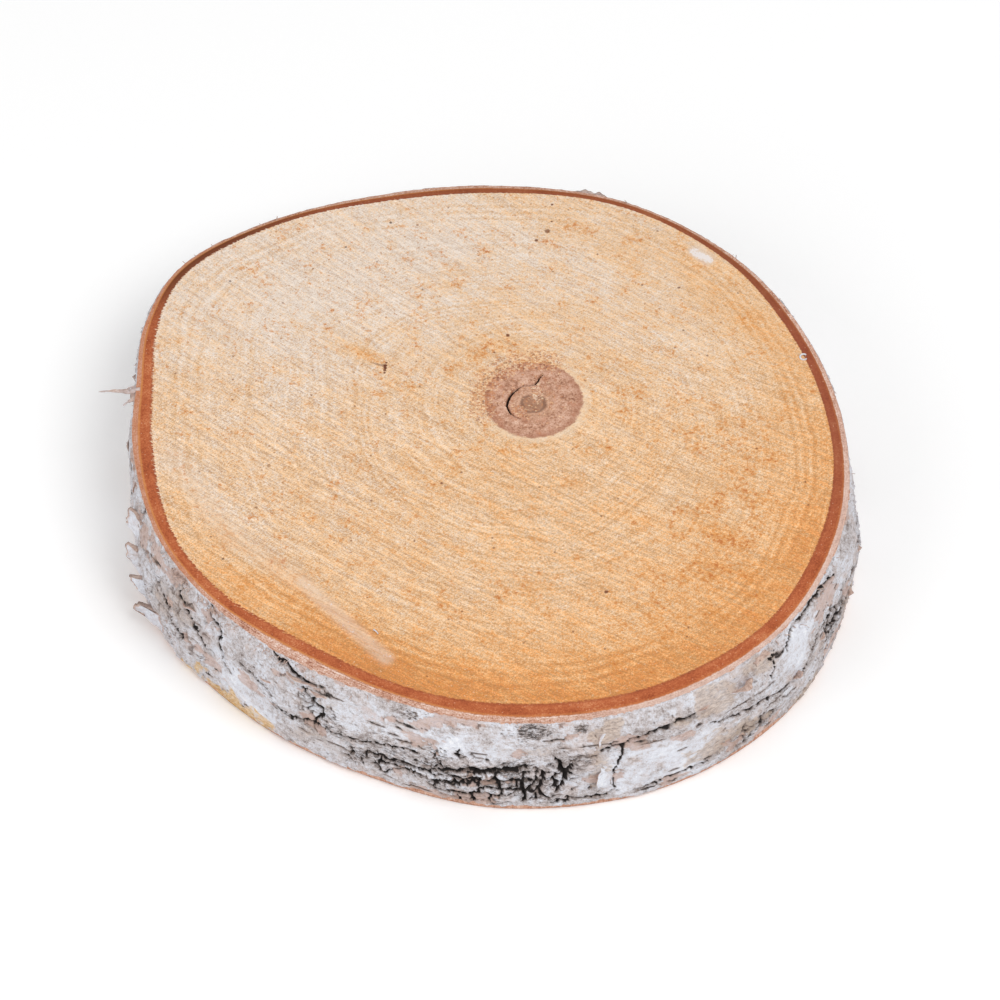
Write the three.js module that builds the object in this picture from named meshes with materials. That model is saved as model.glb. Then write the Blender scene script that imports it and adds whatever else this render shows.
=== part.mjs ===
// A birch wood slice: a short cross-cut of a birch log with its bark on, lying on one of its two saw cuts.
// Wood, inner bark and papery outer bark grew as one piece, so the slice is one solid.
// Millimetres, +Z up. The origin is on the underside, below the middle of the slice's width and depth.
import * as THREE from "three";
import { mergeVertices } from "three/addons/utils/BufferGeometryUtils.js";

const THICKNESS = 40; // between the two parallel saw cuts
const OUTLINE_STEPS = 144; // facets round the trunk

// The slice's outline: bearing from +X in degrees, radius at the upper cut, and how much further out the bark
// stands below that cut. It is nearly round, with a shoulder at 142 degrees and a flatter side at 228.
const OUTLINE = [
  [0, 119.5, 1], [22, 118.5, 2.3], [45, 121.5, 3], [68, 124, 3], [90, 123, 2.8], [108, 124.5, 3.5],
  [126, 130.5, 3], [142, 135.8, 2], [155, 131, 1.5], [167, 123.5, 1], [182, 120, 1.5],
  [204, 117.5, 4.5], [228, 115, 3.4], [250, 116, 3.3], [272, 122, 4], [296, 126, 4.4],
  [318, 126, 4.6], [340, 123, 3.8],
];

// The side from the underside up: share of the thickness, and share of the bark's stand-out at that level.
// The cork layers are frayed at both cuts, and step back more at the upper one.
const SIDE = [
  [0, 0.75], [0.06, 0.9], [0.18, 0.97], [0.34, 1], [0.5, 1], [0.66, 0.93], [0.8, 0.77], [0.92, 0.4], [1, 0],
];

// Low swells that the bark keeps from the trunk: how many go round, how far they stand out, and their phase.
const SWELLS = [
  [7, 0.35, 0.4],
  [13, 0.25, 2.1],
  [29, 0.2, 5.0],
];

// Lumps where thick bark plates stand proud: bearing, share of the thickness, half width, half height,
// and how far they stand out.
const LUMPS = [
  { bearing: 199, level: 0.62, across: 7, tall: 7, out: 1.6 },
  { bearing: 212, level: 0.34, across: 9, tall: 8, out: 1.5 },
  { bearing: 264, level: 0.36, across: 16, tall: 9, out: 1.2 },
  { bearing: 341, level: 0.55, across: 8, tall: 10, out: 1.4 },
  { bearing: 66, level: 0.5, across: 12, tall: 12, out: 1.2 },
];

const turn = (degrees) => THREE.MathUtils.degToRad(degrees);
const wrap = THREE.MathUtils.euclideanModulo;

// How far the bark stands out beyond the smooth trunk at a bearing (radians) and a height.
// It fades to nothing at both saw cuts, so their edges stay on the outline.
function barkRelief(bearing, height, radius) {
  const share = height / THICKNESS;
  const fade = Math.sin(Math.PI * share);
  let out = 0;
  for (const [count, amplitude, phase] of SWELLS) {
    out += amplitude * Math.cos(count * bearing + phase + 1.5 * share);
  }
  for (const lump of LUMPS) {
    const turned = wrap(bearing - turn(lump.bearing) + Math.PI, 2 * Math.PI) - Math.PI;
    const across = (turned * radius) / lump.across;
    const up = ((share - lump.level) * THICKNESS) / lump.tall;
    out += lump.out * Math.exp(-across * across - up * up);
  }
  return out * fade;
}

// How far the bark stands out below the upper cut at a bearing (degrees), between the outline's own bearings.
function standOut(bearing) {
  const after = OUTLINE.findIndex(([listed]) => listed > bearing);
  const next = after < 0 ? 0 : after;
  const last = (next + OUTLINE.length - 1) % OUTLINE.length;
  const [from, , fromOut] = OUTLINE[last];
  const [to, , toOut] = OUTLINE[next];
  const span = wrap(to - from, 360);
  return THREE.MathUtils.lerp(fromOut, toOut, THREE.MathUtils.smoothstep(bearing - from, 0, span));
}

function upperCutShape() {
  const points = OUTLINE.map(([bearing, radius]) =>
    new THREE.Vector3(radius * Math.cos(turn(bearing)), radius * Math.sin(turn(bearing)), 0));
  const curve = new THREE.CatmullRomCurve3(points, true, "centripetal");
  const loop = curve.getSpacedPoints(OUTLINE_STEPS).slice(0, OUTLINE_STEPS);
  return new THREE.Shape(loop.map((point) => new THREE.Vector2(point.x, point.y)));
}

// The upper cut's shape extruded in one step per level, then each level brought to its height and moved out.
function sliceGeometry() {
  const levels = SIDE.length - 1;
  const oneStepPerLevel = { depth: levels, steps: levels, bevelEnabled: false };
  const extruded = new THREE.ExtrudeGeometry(upperCutShape(), oneStepPerLevel);
  extruded.deleteAttribute("normal");
  extruded.deleteAttribute("uv");
  const geometry = mergeVertices(extruded);
  const position = geometry.getAttribute("position");
  for (let i = 0; i < position.count; i++) {
    const [share, out] = SIDE[Math.round(position.getZ(i))];
    const height = share * THICKNESS;
    const bearing = Math.atan2(position.getY(i), position.getX(i));
    const rim = Math.hypot(position.getX(i), position.getY(i));
    const degrees = wrap(THREE.MathUtils.radToDeg(bearing), 360);
    const radius = rim + out * standOut(degrees) + barkRelief(bearing, height, rim);
    position.setXYZ(i, radius * Math.cos(bearing), radius * Math.sin(bearing), height);
  }
  geometry.computeBoundingBox();
  const middle = geometry.boundingBox.getCenter(new THREE.Vector3());
  geometry.translate(-middle.x, -middle.y, 0);
  geometry.computeVertexNormals();
  return geometry;
}

const birch = new THREE.MeshStandardMaterial({ color: 0xe6c29a, roughness: 0.8, metalness: 0 });

const slice = new THREE.Mesh(sliceGeometry(), birch);
slice.name = "birch_slice";

const group = new THREE.Group();
group.add(slice);

export default group;
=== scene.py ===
"""A birch wood slice: two saw-cut faces, a reddish inner bark, a pink cork edge and papery white bark.

The slice's outline comes from the CAD frame, level by level. The wood, the bark and its loose curls are
closed meshes built on that outline. Lengths are in millimetres until a mesh is made, which is in metres.
Bearings are degrees from +X, counter-clockwise seen from above; the front of the slice is at 270.
"""

import math
from types import SimpleNamespace

import bpy
import numpy as np
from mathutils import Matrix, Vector


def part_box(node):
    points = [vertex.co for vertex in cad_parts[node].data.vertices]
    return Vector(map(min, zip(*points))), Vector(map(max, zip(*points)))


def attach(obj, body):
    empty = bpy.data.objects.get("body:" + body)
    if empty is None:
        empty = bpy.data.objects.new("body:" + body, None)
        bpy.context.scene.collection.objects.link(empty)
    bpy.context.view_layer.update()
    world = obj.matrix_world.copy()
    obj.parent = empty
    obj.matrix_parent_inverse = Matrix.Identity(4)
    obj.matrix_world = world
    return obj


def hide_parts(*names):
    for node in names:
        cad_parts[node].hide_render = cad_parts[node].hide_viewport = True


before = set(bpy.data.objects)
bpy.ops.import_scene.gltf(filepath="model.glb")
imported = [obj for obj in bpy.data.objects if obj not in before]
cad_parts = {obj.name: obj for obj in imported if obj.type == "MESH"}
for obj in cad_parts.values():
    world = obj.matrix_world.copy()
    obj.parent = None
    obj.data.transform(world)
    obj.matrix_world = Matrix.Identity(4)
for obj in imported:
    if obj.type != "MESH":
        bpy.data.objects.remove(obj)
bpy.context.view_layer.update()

MM = 0.001
BODY = "root"
NODE = "birch_slice"
SEED = 7

# --- the slice's own dimensions, from the frame ---

low, high = (np.array(corner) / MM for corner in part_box(NODE))
THICKNESS = high[2] - low[2]

# --- camera ---

CAMERA_ELEVATION = 48  # degrees above the horizon
CAMERA_DISTANCE = 1662  # from the aim point
CAMERA_AIM = (2.9, -26.1)  # on the upper cut
LENS = 180
SENSOR = 36

# --- the cut faces ---

PITH = (14.2, 18.0)
HEART = (14.2, 19.6)
HEART_RADIUS = 17.4
CHECK_DEPTH = 2.6
# The open check that curls round the pith: (x, y, half its width).
CHECK = [
    (17.4, 31.8, 0.2), (16.3, 30.3, 0.4), (15.6, 28.4, 0.36), (14.7, 27.1, 0.5), (12.9, 26.6, 0.4),
    (11.2, 26.7, 0.46), (9.1, 25.4, 0.4), (8.3, 24.3, 0.56), (7.3, 23.5, 0.5), (6.1, 21.4, 0.68),
    (5.6, 19.6, 0.4), (5.4, 18.9, 0.5), (5.2, 17.3, 0.34), (5.9, 15.2, 0.42), (6.8, 13.3, 0.3),
    (8.2, 11.9, 0.24), (9.8, 11.0, 0.12),
]
# Dark knots and pits of the upper cut: (x, y, radius, darkness).
PITS = [
    (19.5, 100.3, 1.3, 0.75), (15.6, 95.8, 0.8, 0.9), (21.0, 105.0, 0.5, 0.9), (21.2, 113.5, 0.6, 0.9),
    (5.6, 49.8, 0.9, 0.9), (64.8, 72.7, 0.7, 0.8), (52.0, 74.0, 0.6, 0.7), (37.6, -66.5, 0.9, 0.9),
    (-35.8, 36.9, 0.6, 0.9), (-36.2, 35.5, 0.85, 1), (-36.2, 34.4, 0.85, 1), (-36.3, 33.3, 0.75, 0.95),
    (-36.4, 32.2, 0.55, 0.9), (-37.0, 35.6, 0.7, 0.6), (-37.8, 35.8, 0.7, 0.5),
    (-38.6, 36.0, 0.7, 0.45), (-39.4, 36.3, 0.7, 0.4), (-40.2, 36.6, 0.7, 0.35),
    (-41.0, 36.9, 0.6, 0.3), (-74.4, -10.6, 0.9, 0.5), (-78.0, -29.5, 0.7, 0.5),
    (-16.5, -18.5, 0.6, 0.8), (85.0, 70.0, 0.5, 0.7),
]
# Two clumps of sawdust on the heart; the first is narrower across than it is deep, by this factor.
CLUMP = (15.4, 23.0)
CLUMP_SQUEEZE = 2.2
LEFT_CLUMP = (9.6, 14.2)
SAW_ANGLE = -36  # the saw marks run this way across the cut
SAW_BOW = 0.00045  # and bow by this much times the square of the distance along them

# Thickness of the reddish inner bark and of the pink cork outside it, as (bearing, thickness).
INNER_BARK = [
    (0, 3.3), (30, 3.0), (50, 2.0), (75, 1.9), (95, 2.6), (120, 2.0), (145, 2.6), (162, 4.2),
    (182, 4.8), (208, 3.6), (235, 4.6), (255, 4.4), (275, 5.5), (300, 5.1), (318, 4.4), (335, 4.7),
]
CORK_BAND = [
    (0, 1.7), (45, 1.1), (62, 0.8), (100, 1.3), (125, 0.8), (145, 0.9), (160, 1.5), (178, 2.0),
    (194, 1.4), (214, 1.5), (238, 4.0), (256, 2.7), (270, 2.8), (300, 2.3), (320, 1.7), (345, 2.0),
]
# How much warmer the wood grows towards its rim.
RIM_WARMTH = [
    (0, 0.26), (45, 0.12), (90, 0.08), (135, 0.02), (180, 0.12), (225, 0.34), (250, 0.62), (285, 0.5),
    (325, 0.34),
]

# --- mesh density ---

SECTIONS = 1152  # round the bark
WALL_ROWS = 60
OUTLINE_STEP = 0.25  # degrees


def smoothstep(edge0, edge1, value):
    t = np.clip((value - edge0) / (edge1 - edge0), 0, 1)
    return t * t * (3 - 2 * t)


def mix(a, b, share):
    return a + (b - a) * share


# --- noise ---

def scramble(ix, iy, iz, seed):
    """A repeatable random 32-bit number for each whole-number lattice point."""
    mixed = (ix.astype(np.int64) * 374761393 + iy.astype(np.int64) * 668265263
             + iz.astype(np.int64) * 1440662683 + seed * 982451653)
    mixed = (mixed & 0xFFFFFFFF).astype(np.uint64)
    mixed = ((mixed ^ (mixed >> np.uint64(13))) * np.uint64(1274126177)) & np.uint64(0xFFFFFFFF)
    mixed = ((mixed ^ (mixed >> np.uint64(16))) * np.uint64(2246822519)) & np.uint64(0xFFFFFFFF)
    return mixed ^ (mixed >> np.uint64(15))


def unit_random(ix, iy, iz, seed):
    return scramble(ix, iy, iz, seed).astype(float) / 0xFFFFFFFF


def noise(points, size, seed, flatten=1.0):
    """Smooth noise about -1 to 1 with lumps about `size` across, `flatten` times shorter along Z."""
    scaled = points / size * np.array([1.0, 1.0, flatten])
    cell = np.floor(scaled).astype(np.int64)
    local = scaled - cell
    fade = local ** 3 * (local * (local * 6 - 15) + 10)
    total = np.zeros(len(points))
    for corner in range(8):
        step = np.array([corner & 1, corner >> 1 & 1, corner >> 2 & 1])
        ix, iy, iz = (cell + step).T
        bits = scramble(ix, iy, iz, seed)
        slope = np.stack([(bits >> np.uint64(shift)) & np.uint64(1023) for shift in (0, 10, 20)], axis=1)
        slope = slope.astype(float) / 511.5 - 1
        weight = np.prod(np.where(step == 1, fade, 1 - fade), axis=1)
        total += weight * np.sum(slope * (local - step), axis=1)
    return total * 1.5


def layered_noise(points, size, seed, octaves=4, flatten=1.0, rough=0.5):
    total = np.zeros(len(points))
    strength = 1.0
    for octave in range(octaves):
        total += strength * noise(points, size / 2 ** octave, seed + 31 * octave, flatten)
        strength *= rough
    return total


def plates(arc, level, width, height, seed):
    """Cracked plates on the bark: how far the nearest gap is, and a random number per plate."""
    columns = max(3, round(GIRTH / width))
    u = arc / GIRTH * columns
    v = level / height
    column = np.floor(u).astype(np.int64)
    row = np.floor(v).astype(np.int64)
    nearest = np.full(len(arc), np.inf)
    second = np.full(len(arc), np.inf)
    chosen = np.zeros(len(arc))
    for dc in (-1, 0, 1):
        for dr in (-1, 0, 1):
            c = np.mod(column + dc, columns)
            r = row + dr
            zero = np.zeros_like(c)
            cu = column + dc + 0.1 + 0.8 * unit_random(c, r, zero, seed)
            cv = r + 0.1 + 0.8 * unit_random(c, r, zero + 1, seed)
            away = np.hypot(u - cu, v - cv)
            closer = away < nearest
            second = np.where(closer, nearest, np.minimum(second, away))
            chosen = np.where(closer, unit_random(c, r, zero + 2, seed), chosen)
            nearest = np.where(closer, away, nearest)
    return second - nearest, chosen


# --- the outline ---

def round_trip(points, bearing):
    """A smooth value at each bearing through a closed list of (bearing, value)."""
    listed = np.array([p[0] for p in points], float)
    values = np.array([p[1] for p in points], float)
    bearing = np.mod(bearing, 360)
    after = np.searchsorted(listed, bearing, side="right")
    before = (after - 1) % len(points)
    after = after % len(points)
    span = np.mod(listed[after] - listed[before], 360)
    share = smoothstep(0, 1, np.mod(bearing - listed[before], 360) / span)
    return mix(values[before], values[after], share)


class Outline:
    """The trunk's radius at any bearing and height, read from the CAD solid's levels."""

    def __init__(self, solid):
        places = np.array([tuple(v.co) for v in solid.data.vertices]) / MM
        places[:, 2] -= low[2]
        radius = np.hypot(places[:, 0], places[:, 1])
        on_wall = radius > 0.5 * radius.max()
        bearing = np.mod(np.degrees(np.arctan2(places[:, 1], places[:, 0])), 360)
        self.heights = np.unique(np.round(places[on_wall, 2], 2))
        self.grid = np.arange(0, 360, OUTLINE_STEP)
        rows = []
        for height in self.heights:
            level = on_wall & (np.abs(places[:, 2] - height) < 0.05)
            listed, first = np.unique(np.round(bearing[level], 4), return_index=True)
            rows.append(self.rounded(np.interp(self.grid, listed, radius[level][first], period=360)))
        self.rows = np.array(rows)

    @staticmethod
    def rounded(values):
        """Takes the facets' corners off a closed row of radii."""
        kernel = np.hanning(15)
        kernel /= kernel.sum()
        return np.convolve(np.concatenate([values[-7:], values, values[:7]]), kernel, mode="valid")

    def radius(self, bearing, height):
        column = np.mod(bearing, 360) / OUTLINE_STEP
        left = np.floor(column).astype(int) % len(self.grid)
        right = (left + 1) % len(self.grid)
        share = column - np.floor(column)
        k = np.clip(np.searchsorted(self.heights, height, side="right") - 1, 0, len(self.heights) - 2)
        up = np.clip((height - self.heights[k]) / (self.heights[k + 1] - self.heights[k]), 0, 1)
        lower = mix(self.rows[k, left], self.rows[k, right], share)
        upper = mix(self.rows[k + 1, left], self.rows[k + 1, right], share)
        return mix(lower, upper, up)


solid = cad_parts[NODE]
outline = Outline(solid)
GIRTH = 2 * math.pi * float(outline.rows.mean())

section_bearings = np.arange(SECTIONS) * 360 / SECTIONS


def polar(radius, bearing, height):
    angle = np.radians(bearing)
    return np.stack([radius * np.cos(angle), radius * np.sin(angle), height + np.zeros_like(radius)], axis=-1)


# --- making meshes ---

def make_piece(name, points, faces, attributes, uv=None, sharp_points=None):
    """A mesh object from millimetre points, with numbers per point and one uv pair per face corner."""
    mesh = bpy.data.meshes.new(name)
    mesh.from_pydata((points * MM).tolist(), [], faces)
    mesh.polygons.foreach_set("use_smooth", [True] * len(mesh.polygons))
    for key, values in attributes.items():
        layer = mesh.attributes.new(key, "FLOAT", "POINT")
        layer.data.foreach_set("value", np.asarray(values, dtype=np.float32))
    if uv is not None:
        layer = mesh.uv_layers.new(name="OFBake")
        layer.data.foreach_set("uv", np.asarray(uv, dtype=np.float32).ravel())
    if sharp_points is not None:
        ends = np.empty(2 * len(mesh.edges), dtype=np.int32)
        mesh.edges.foreach_get("vertices", ends)
        ends = ends.reshape(-1, 2)
        sharp = sharp_points[ends[:, 0]] & sharp_points[ends[:, 1]]
        layer = mesh.attributes.new("sharp_edge", "BOOLEAN", "EDGE")
        layer.data.foreach_set("value", sharp)
    mesh.update()
    piece = bpy.data.objects.new(name, mesh)
    bpy.context.scene.collection.objects.link(piece)
    return piece


def settle(piece, *materials):
    """Gives a piece its materials and its place in the frame."""
    for material in materials:
        piece.data.materials.append(material)
    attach(piece, BODY)
    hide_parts(NODE)


# --- the wood ---

# Rings of the cut face from the pith out: (how far out the run of rings ends, its spacing, points round it).
RING_RUNS = [
    (1.6, 0.8, 36), (3.6, 0.6, 72), (5.0, 0.5, 144), (15.5, 0.27, 288), (22, 0.6, 288), (58, 1.1, 288),
    (112, 1.25, 576),
]
MEAN_CUT_RADIUS = 115.0

# The bake's square: the middle of each cut on it, the share of it that a millimetre takes, and the joint's
# strip as (base, top, width).
UPPER_CUT_UV = (0.375, 0.375)
UPPER_CUT_SCALE = 0.36 / 122
LOWER_CUT_UV = (0.862, 0.862)
LOWER_CUT_SCALE = 0.13 / 122
JOINT_UV = (0.985, 0.995, 0.7)

# Warm and pale areas of the cut: (x, y, half length, half width, angle of the length, strength).
WARM_AREAS = [
    (-48, -82, 30, 9, -42, 0.24), (2, 42, 20, 9, 20, 0.16), (-43, 41, 9, 3, -30, 0.4),
    (2, -14, 24, 16, 0, 0.11), (78, 4, 26, 12, 80, 0.06), (66, -56, 34, 18, 60, 0.1),
    (30, 100, 16, 8, -30, 0.1), (-100, 24, 10, 16, 90, 0.08), (-66, -52, 22, 10, -40, 0.1),
    (88, 58, 30, 7, -48, 0.14), (8, -92, 40, 10, 0, 0.12),
]
PALE_AREAS = [
    (-55, 68, 44, 28, 20, 0.2), (-12, 100, 34, 14, -8, 0.18), (70, 36, 34, 16, -38, 0.16),
    (-66, 24, 18, 14, 0, 0.08), (34, 76, 34, 10, -25, 0.1), (-92, -24, 24, 6, -50, 0.16),
    (-68, -50, 30, 4, -44, 0.14), (50, -38, 18, 10, 40, 0.08),
]
# Where orange specks gather.
SPOT_AREAS = [
    (84, -8, 30, 13, 85, 0.75), (72, -54, 36, 20, 62, 0.9), (-4, 40, 17, 9, 35, 0.8),
    (-42, 40, 8, 3, -30, 0.8), (6, -70, 44, 14, 0, 0.45), (24, 101, 14, 7, -20, 0.35),
    (-66, -58, 34, 14, -40, 0.3), (44, 20, 20, 18, 0, 0.4), (-30, -10, 40, 30, 0, 0.25),
    (60, 84, 30, 8, -40, 0.25),
]
# The pale streak that the saw dragged across the lower left, and a smear of pale dust near the back.
SMEARS = [
    (-62, -62, -34, -95, 2.6, 0.72), (-106, -8, -84, -44, 5, 0.4), (-84, -44, -62, -62, 4, 0.35),
    (70.5, 90.5, 75, 86, 2.2, 1.5),
]


def soft_patch(x, y, patch):
    """A soft-edged ellipse: its strength at each point."""
    cx, cy, length, width, angle, strength = patch
    turn = math.radians(angle)
    along = (x - cx) * math.cos(turn) + (y - cy) * math.sin(turn)
    across = (y - cy) * math.cos(turn) - (x - cx) * math.sin(turn)
    return strength * np.exp(-((along / length) ** 2 + (across / width) ** 2))


def distance_to_line(x, y, x0, y0, x1, y1):
    length = math.hypot(x1 - x0, y1 - y0)
    share = np.clip(((x - x0) * (x1 - x0) + (y - y0) * (y1 - y0)) / length ** 2, 0, 1)
    return np.hypot(x - mix(x0, x1, share), y - mix(y0, y1, share))


def inner_bark(bearing):
    return round_trip(INNER_BARK, bearing)


def cork_band(bearing):
    return round_trip(CORK_BAND, bearing)


def cambium_radius(bearing, height):
    return outline.radius(bearing, height) - cork_band(bearing) - inner_bark(bearing)


def joint_ring(height):
    """Where the wood piece meets the bark piece, half way through the inner bark."""
    full = np.full(SECTIONS, float(height))
    radius = cambium_radius(section_bearings, full) + 0.5 * inner_bark(section_bearings)
    return polar(radius, section_bearings, height)


def heart_check(x, y):
    """The open check that curls round the pith: 1 in the middle of the gap, 0 outside it."""
    gap = np.zeros(len(x))
    near = np.nonzero(np.hypot(x - PITH[0], y - PITH[1]) < 18)[0]
    for (x0, y0, half0), (x1, y1, half1) in zip(CHECK, CHECK[1:]):
        reach = distance_to_line(x[near], y[near], x0, y0, x1, y1)
        gap[near] = np.maximum(gap[near], smoothstep(1.1, 0.45, reach / (0.5 * (half0 + half1) + 0.05)))
    return gap


def cut_relief(points):
    """How far the saw left the cut face above or below flat."""
    x, y = points[:, 0], points[:, 1]
    turn = math.radians(SAW_ANGLE)
    along = x * math.cos(turn) + y * math.sin(turn)
    across = y * math.cos(turn) - x * math.sin(turn)
    stretched = np.stack([along * 0.06, across, np.zeros_like(x)], axis=1)
    marks = 0.045 * layered_noise(stretched, 9, SEED + 3, 3)
    swell = 0.07 * noise(points * np.array([1, 1, 0]), 38, SEED + 4)
    return marks + swell


def cut_rings(height, runs):
    """The points of one cut face in plan, ring by ring from the pith out to the joint."""
    edge = joint_ring(height)[:, :2]
    pith = np.array(PITH)
    spokes = edge - pith
    reach = np.hypot(spokes[:, 0], spokes[:, 1])
    way = spokes / reach[:, None]
    facing = np.sum(way * edge, axis=1) / np.hypot(edge[:, 0], edge[:, 1])
    cambium = reach - 0.5 * inner_bark(section_bearings) / np.maximum(0.2, facing)
    rings = [pith[None, :]]
    start = 0.0
    for stop, spacing, count in runs:
        step = SECTIONS // count
        steps = max(1, round((stop - start) / spacing))
        for k in range(1, steps + 1):
            r = start + (stop - start) * k / steps
            share = r / MEAN_CUT_RADIUS
            out = mix(r, share * cambium[::step], smoothstep(0.08, 0.5, share))
            rings.append(pith + way[::step] * out[:, None])
        start = stop
    rings.append(pith + way[::step] * cambium[::step, None])
    rings.append(edge)
    return rings


def cut_face(height, runs, lies_up):
    """The points of one cut face, their attributes, and the sizes of its rings."""
    rings = cut_rings(height, runs)
    sizes = [len(ring) for ring in rings]
    x, y = np.concatenate(rings).T
    level = np.full(len(x), float(height))
    points = np.column_stack([x, y, level])
    bearing = np.degrees(np.arctan2(y, x))
    depth = np.hypot(x, y) - cambium_radius(bearing, level)
    from_pith = np.hypot(x - PITH[0], y - PITH[1])
    ring_radius = [float(np.mean(np.hypot(*(ring - PITH).T))) for ring in rings]
    check = heart_check(x, y)
    attributes = {
        "layer": np.where(depth > 0, depth / inner_bark(bearing), depth),
        "growth": mix(from_pith, np.repeat(ring_radius, sizes), smoothstep(15, 60, from_pith)),
        "check": check,
    }
    relief = cut_relief(points) * smoothstep(-0.4, -3.0, depth) * smoothstep(0.2, 2.0, np.abs(depth))
    relief -= CHECK_DEPTH * check + 0.5 * smoothstep(1.7, 0.4, from_pith)
    relief -= 0.16 * smoothstep(HEART_RADIUS + 1.5, HEART_RADIUS - 2, from_pith)
    points[:, 2] += relief if lies_up else -relief
    return points, attributes, sizes


def ring_faces(sizes, first, lies_up):
    """Faces between neighbouring rings, where the outer one may have twice the points of the inner one."""
    faces = []
    starts = np.concatenate([[0], np.cumsum(sizes)]) + first
    for k in range(len(sizes) - 1):
        a, b, n, m = starts[k], starts[k + 1], sizes[k], sizes[k + 1]
        for i in range(n if n > 1 else m):
            if n == 1:
                new = [(a, b + i, b + (i + 1) % m)]
            elif n == m:
                j = (i + 1) % n
                new = [(a + i, b + i, b + j, a + j)]
            else:
                j = (i + 1) % n
                p, q, r = b + 2 * i, b + 2 * i + 1, b + (2 * i + 2) % m
                new = [(a + i, p, q), (a + i, q, a + j), (a + j, q, r)]
            faces += new if lies_up else [face[::-1] for face in new]
    return faces


def wood_colour_fields(points):
    """How warm the cut is at each point, where the saw left pale smears, and where specks gather."""
    x, y = points[:, 0], points[:, 1]
    bearing = np.degrees(np.arctan2(y, x))
    from_rim = outline.radius(bearing, points[:, 2]) - np.hypot(x, y)
    warm = 0.47 - 0.0020 * y + 0.0015 * x
    warm = warm + round_trip(RIM_WARMTH, bearing) * smoothstep(34, 8, from_rim)
    warm = warm + sum(soft_patch(x, y, patch) for patch in WARM_AREAS)
    warm = warm - sum(soft_patch(x, y, patch) for patch in PALE_AREAS)
    spots = sum(soft_patch(x, y, patch) for patch in SPOT_AREAS)
    smear = np.zeros_like(x)
    for x0, y0, x1, y1, half_width, strength in SMEARS:
        away = distance_to_line(x, y, x0, y0, x1, y1)
        smear = np.maximum(smear, strength * smoothstep(1.5, 0.5, away / half_width))
    return {"warm": warm, "smear": smear, "spots": spots}


def wood_uv(points, faces, upper_faces, lower_faces):
    """The upper cut takes most of the bake's square, the lower cut its far corner, the joint a thin strip."""
    upper = UPPER_CUT_UV + points[:, :2] * UPPER_CUT_SCALE
    lower = LOWER_CUT_UV + points[:, :2] * (-LOWER_CUT_SCALE, LOWER_CUT_SCALE)
    base, top, width = JOINT_UV
    corners = []
    for index, face in enumerate(faces):
        i = index - upper_faces - lower_faces
        if i < 0:
            disc = upper if index < upper_faces else lower
            corners += [disc[v] for v in face]
        else:
            left, right = i / SECTIONS * width, (i + 1) / SECTIONS * width
            corners += [(left, base), (right, base), (right, top), (left, top)]
    return corners


def build_wood():
    """The two cut faces, and between them the joint with the bark."""
    coarse = [(stop, spacing if stop < 20 else 1.7 * spacing, count) for stop, spacing, count in RING_RUNS]
    top, top_values, top_sizes = cut_face(THICKNESS, RING_RUNS, True)
    bottom, bottom_values, bottom_sizes = cut_face(0.0, coarse, False)
    bottom[:, 2] = np.maximum(bottom[:, 2], 0.0)
    points = np.concatenate([top, bottom])
    upper_faces = ring_faces(top_sizes, 0, True)
    lower_faces = ring_faces(bottom_sizes, len(top), False)
    faces = upper_faces + lower_faces
    upper = len(top) - SECTIONS
    lower = len(points) - SECTIONS
    for i in range(SECTIONS):
        j = (i + 1) % SECTIONS
        faces.append((lower + i, lower + j, upper + j, upper + i))
    values = {key: np.concatenate([top_values[key], bottom_values[key]]) for key in top_values}
    values.update(wood_colour_fields(points))
    values["lower"] = np.repeat([0.0, 1.0], [len(top), len(bottom)])
    sharp = np.zeros(len(points), bool)
    sharp[upper:upper + SECTIONS] = True
    sharp[lower:] = True
    corners = wood_uv(points, faces, len(upper_faces), len(lower_faces))
    return make_piece("wood", points, faces, values, uv=corners, sharp_points=sharp)


# --- the bark ---

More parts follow.
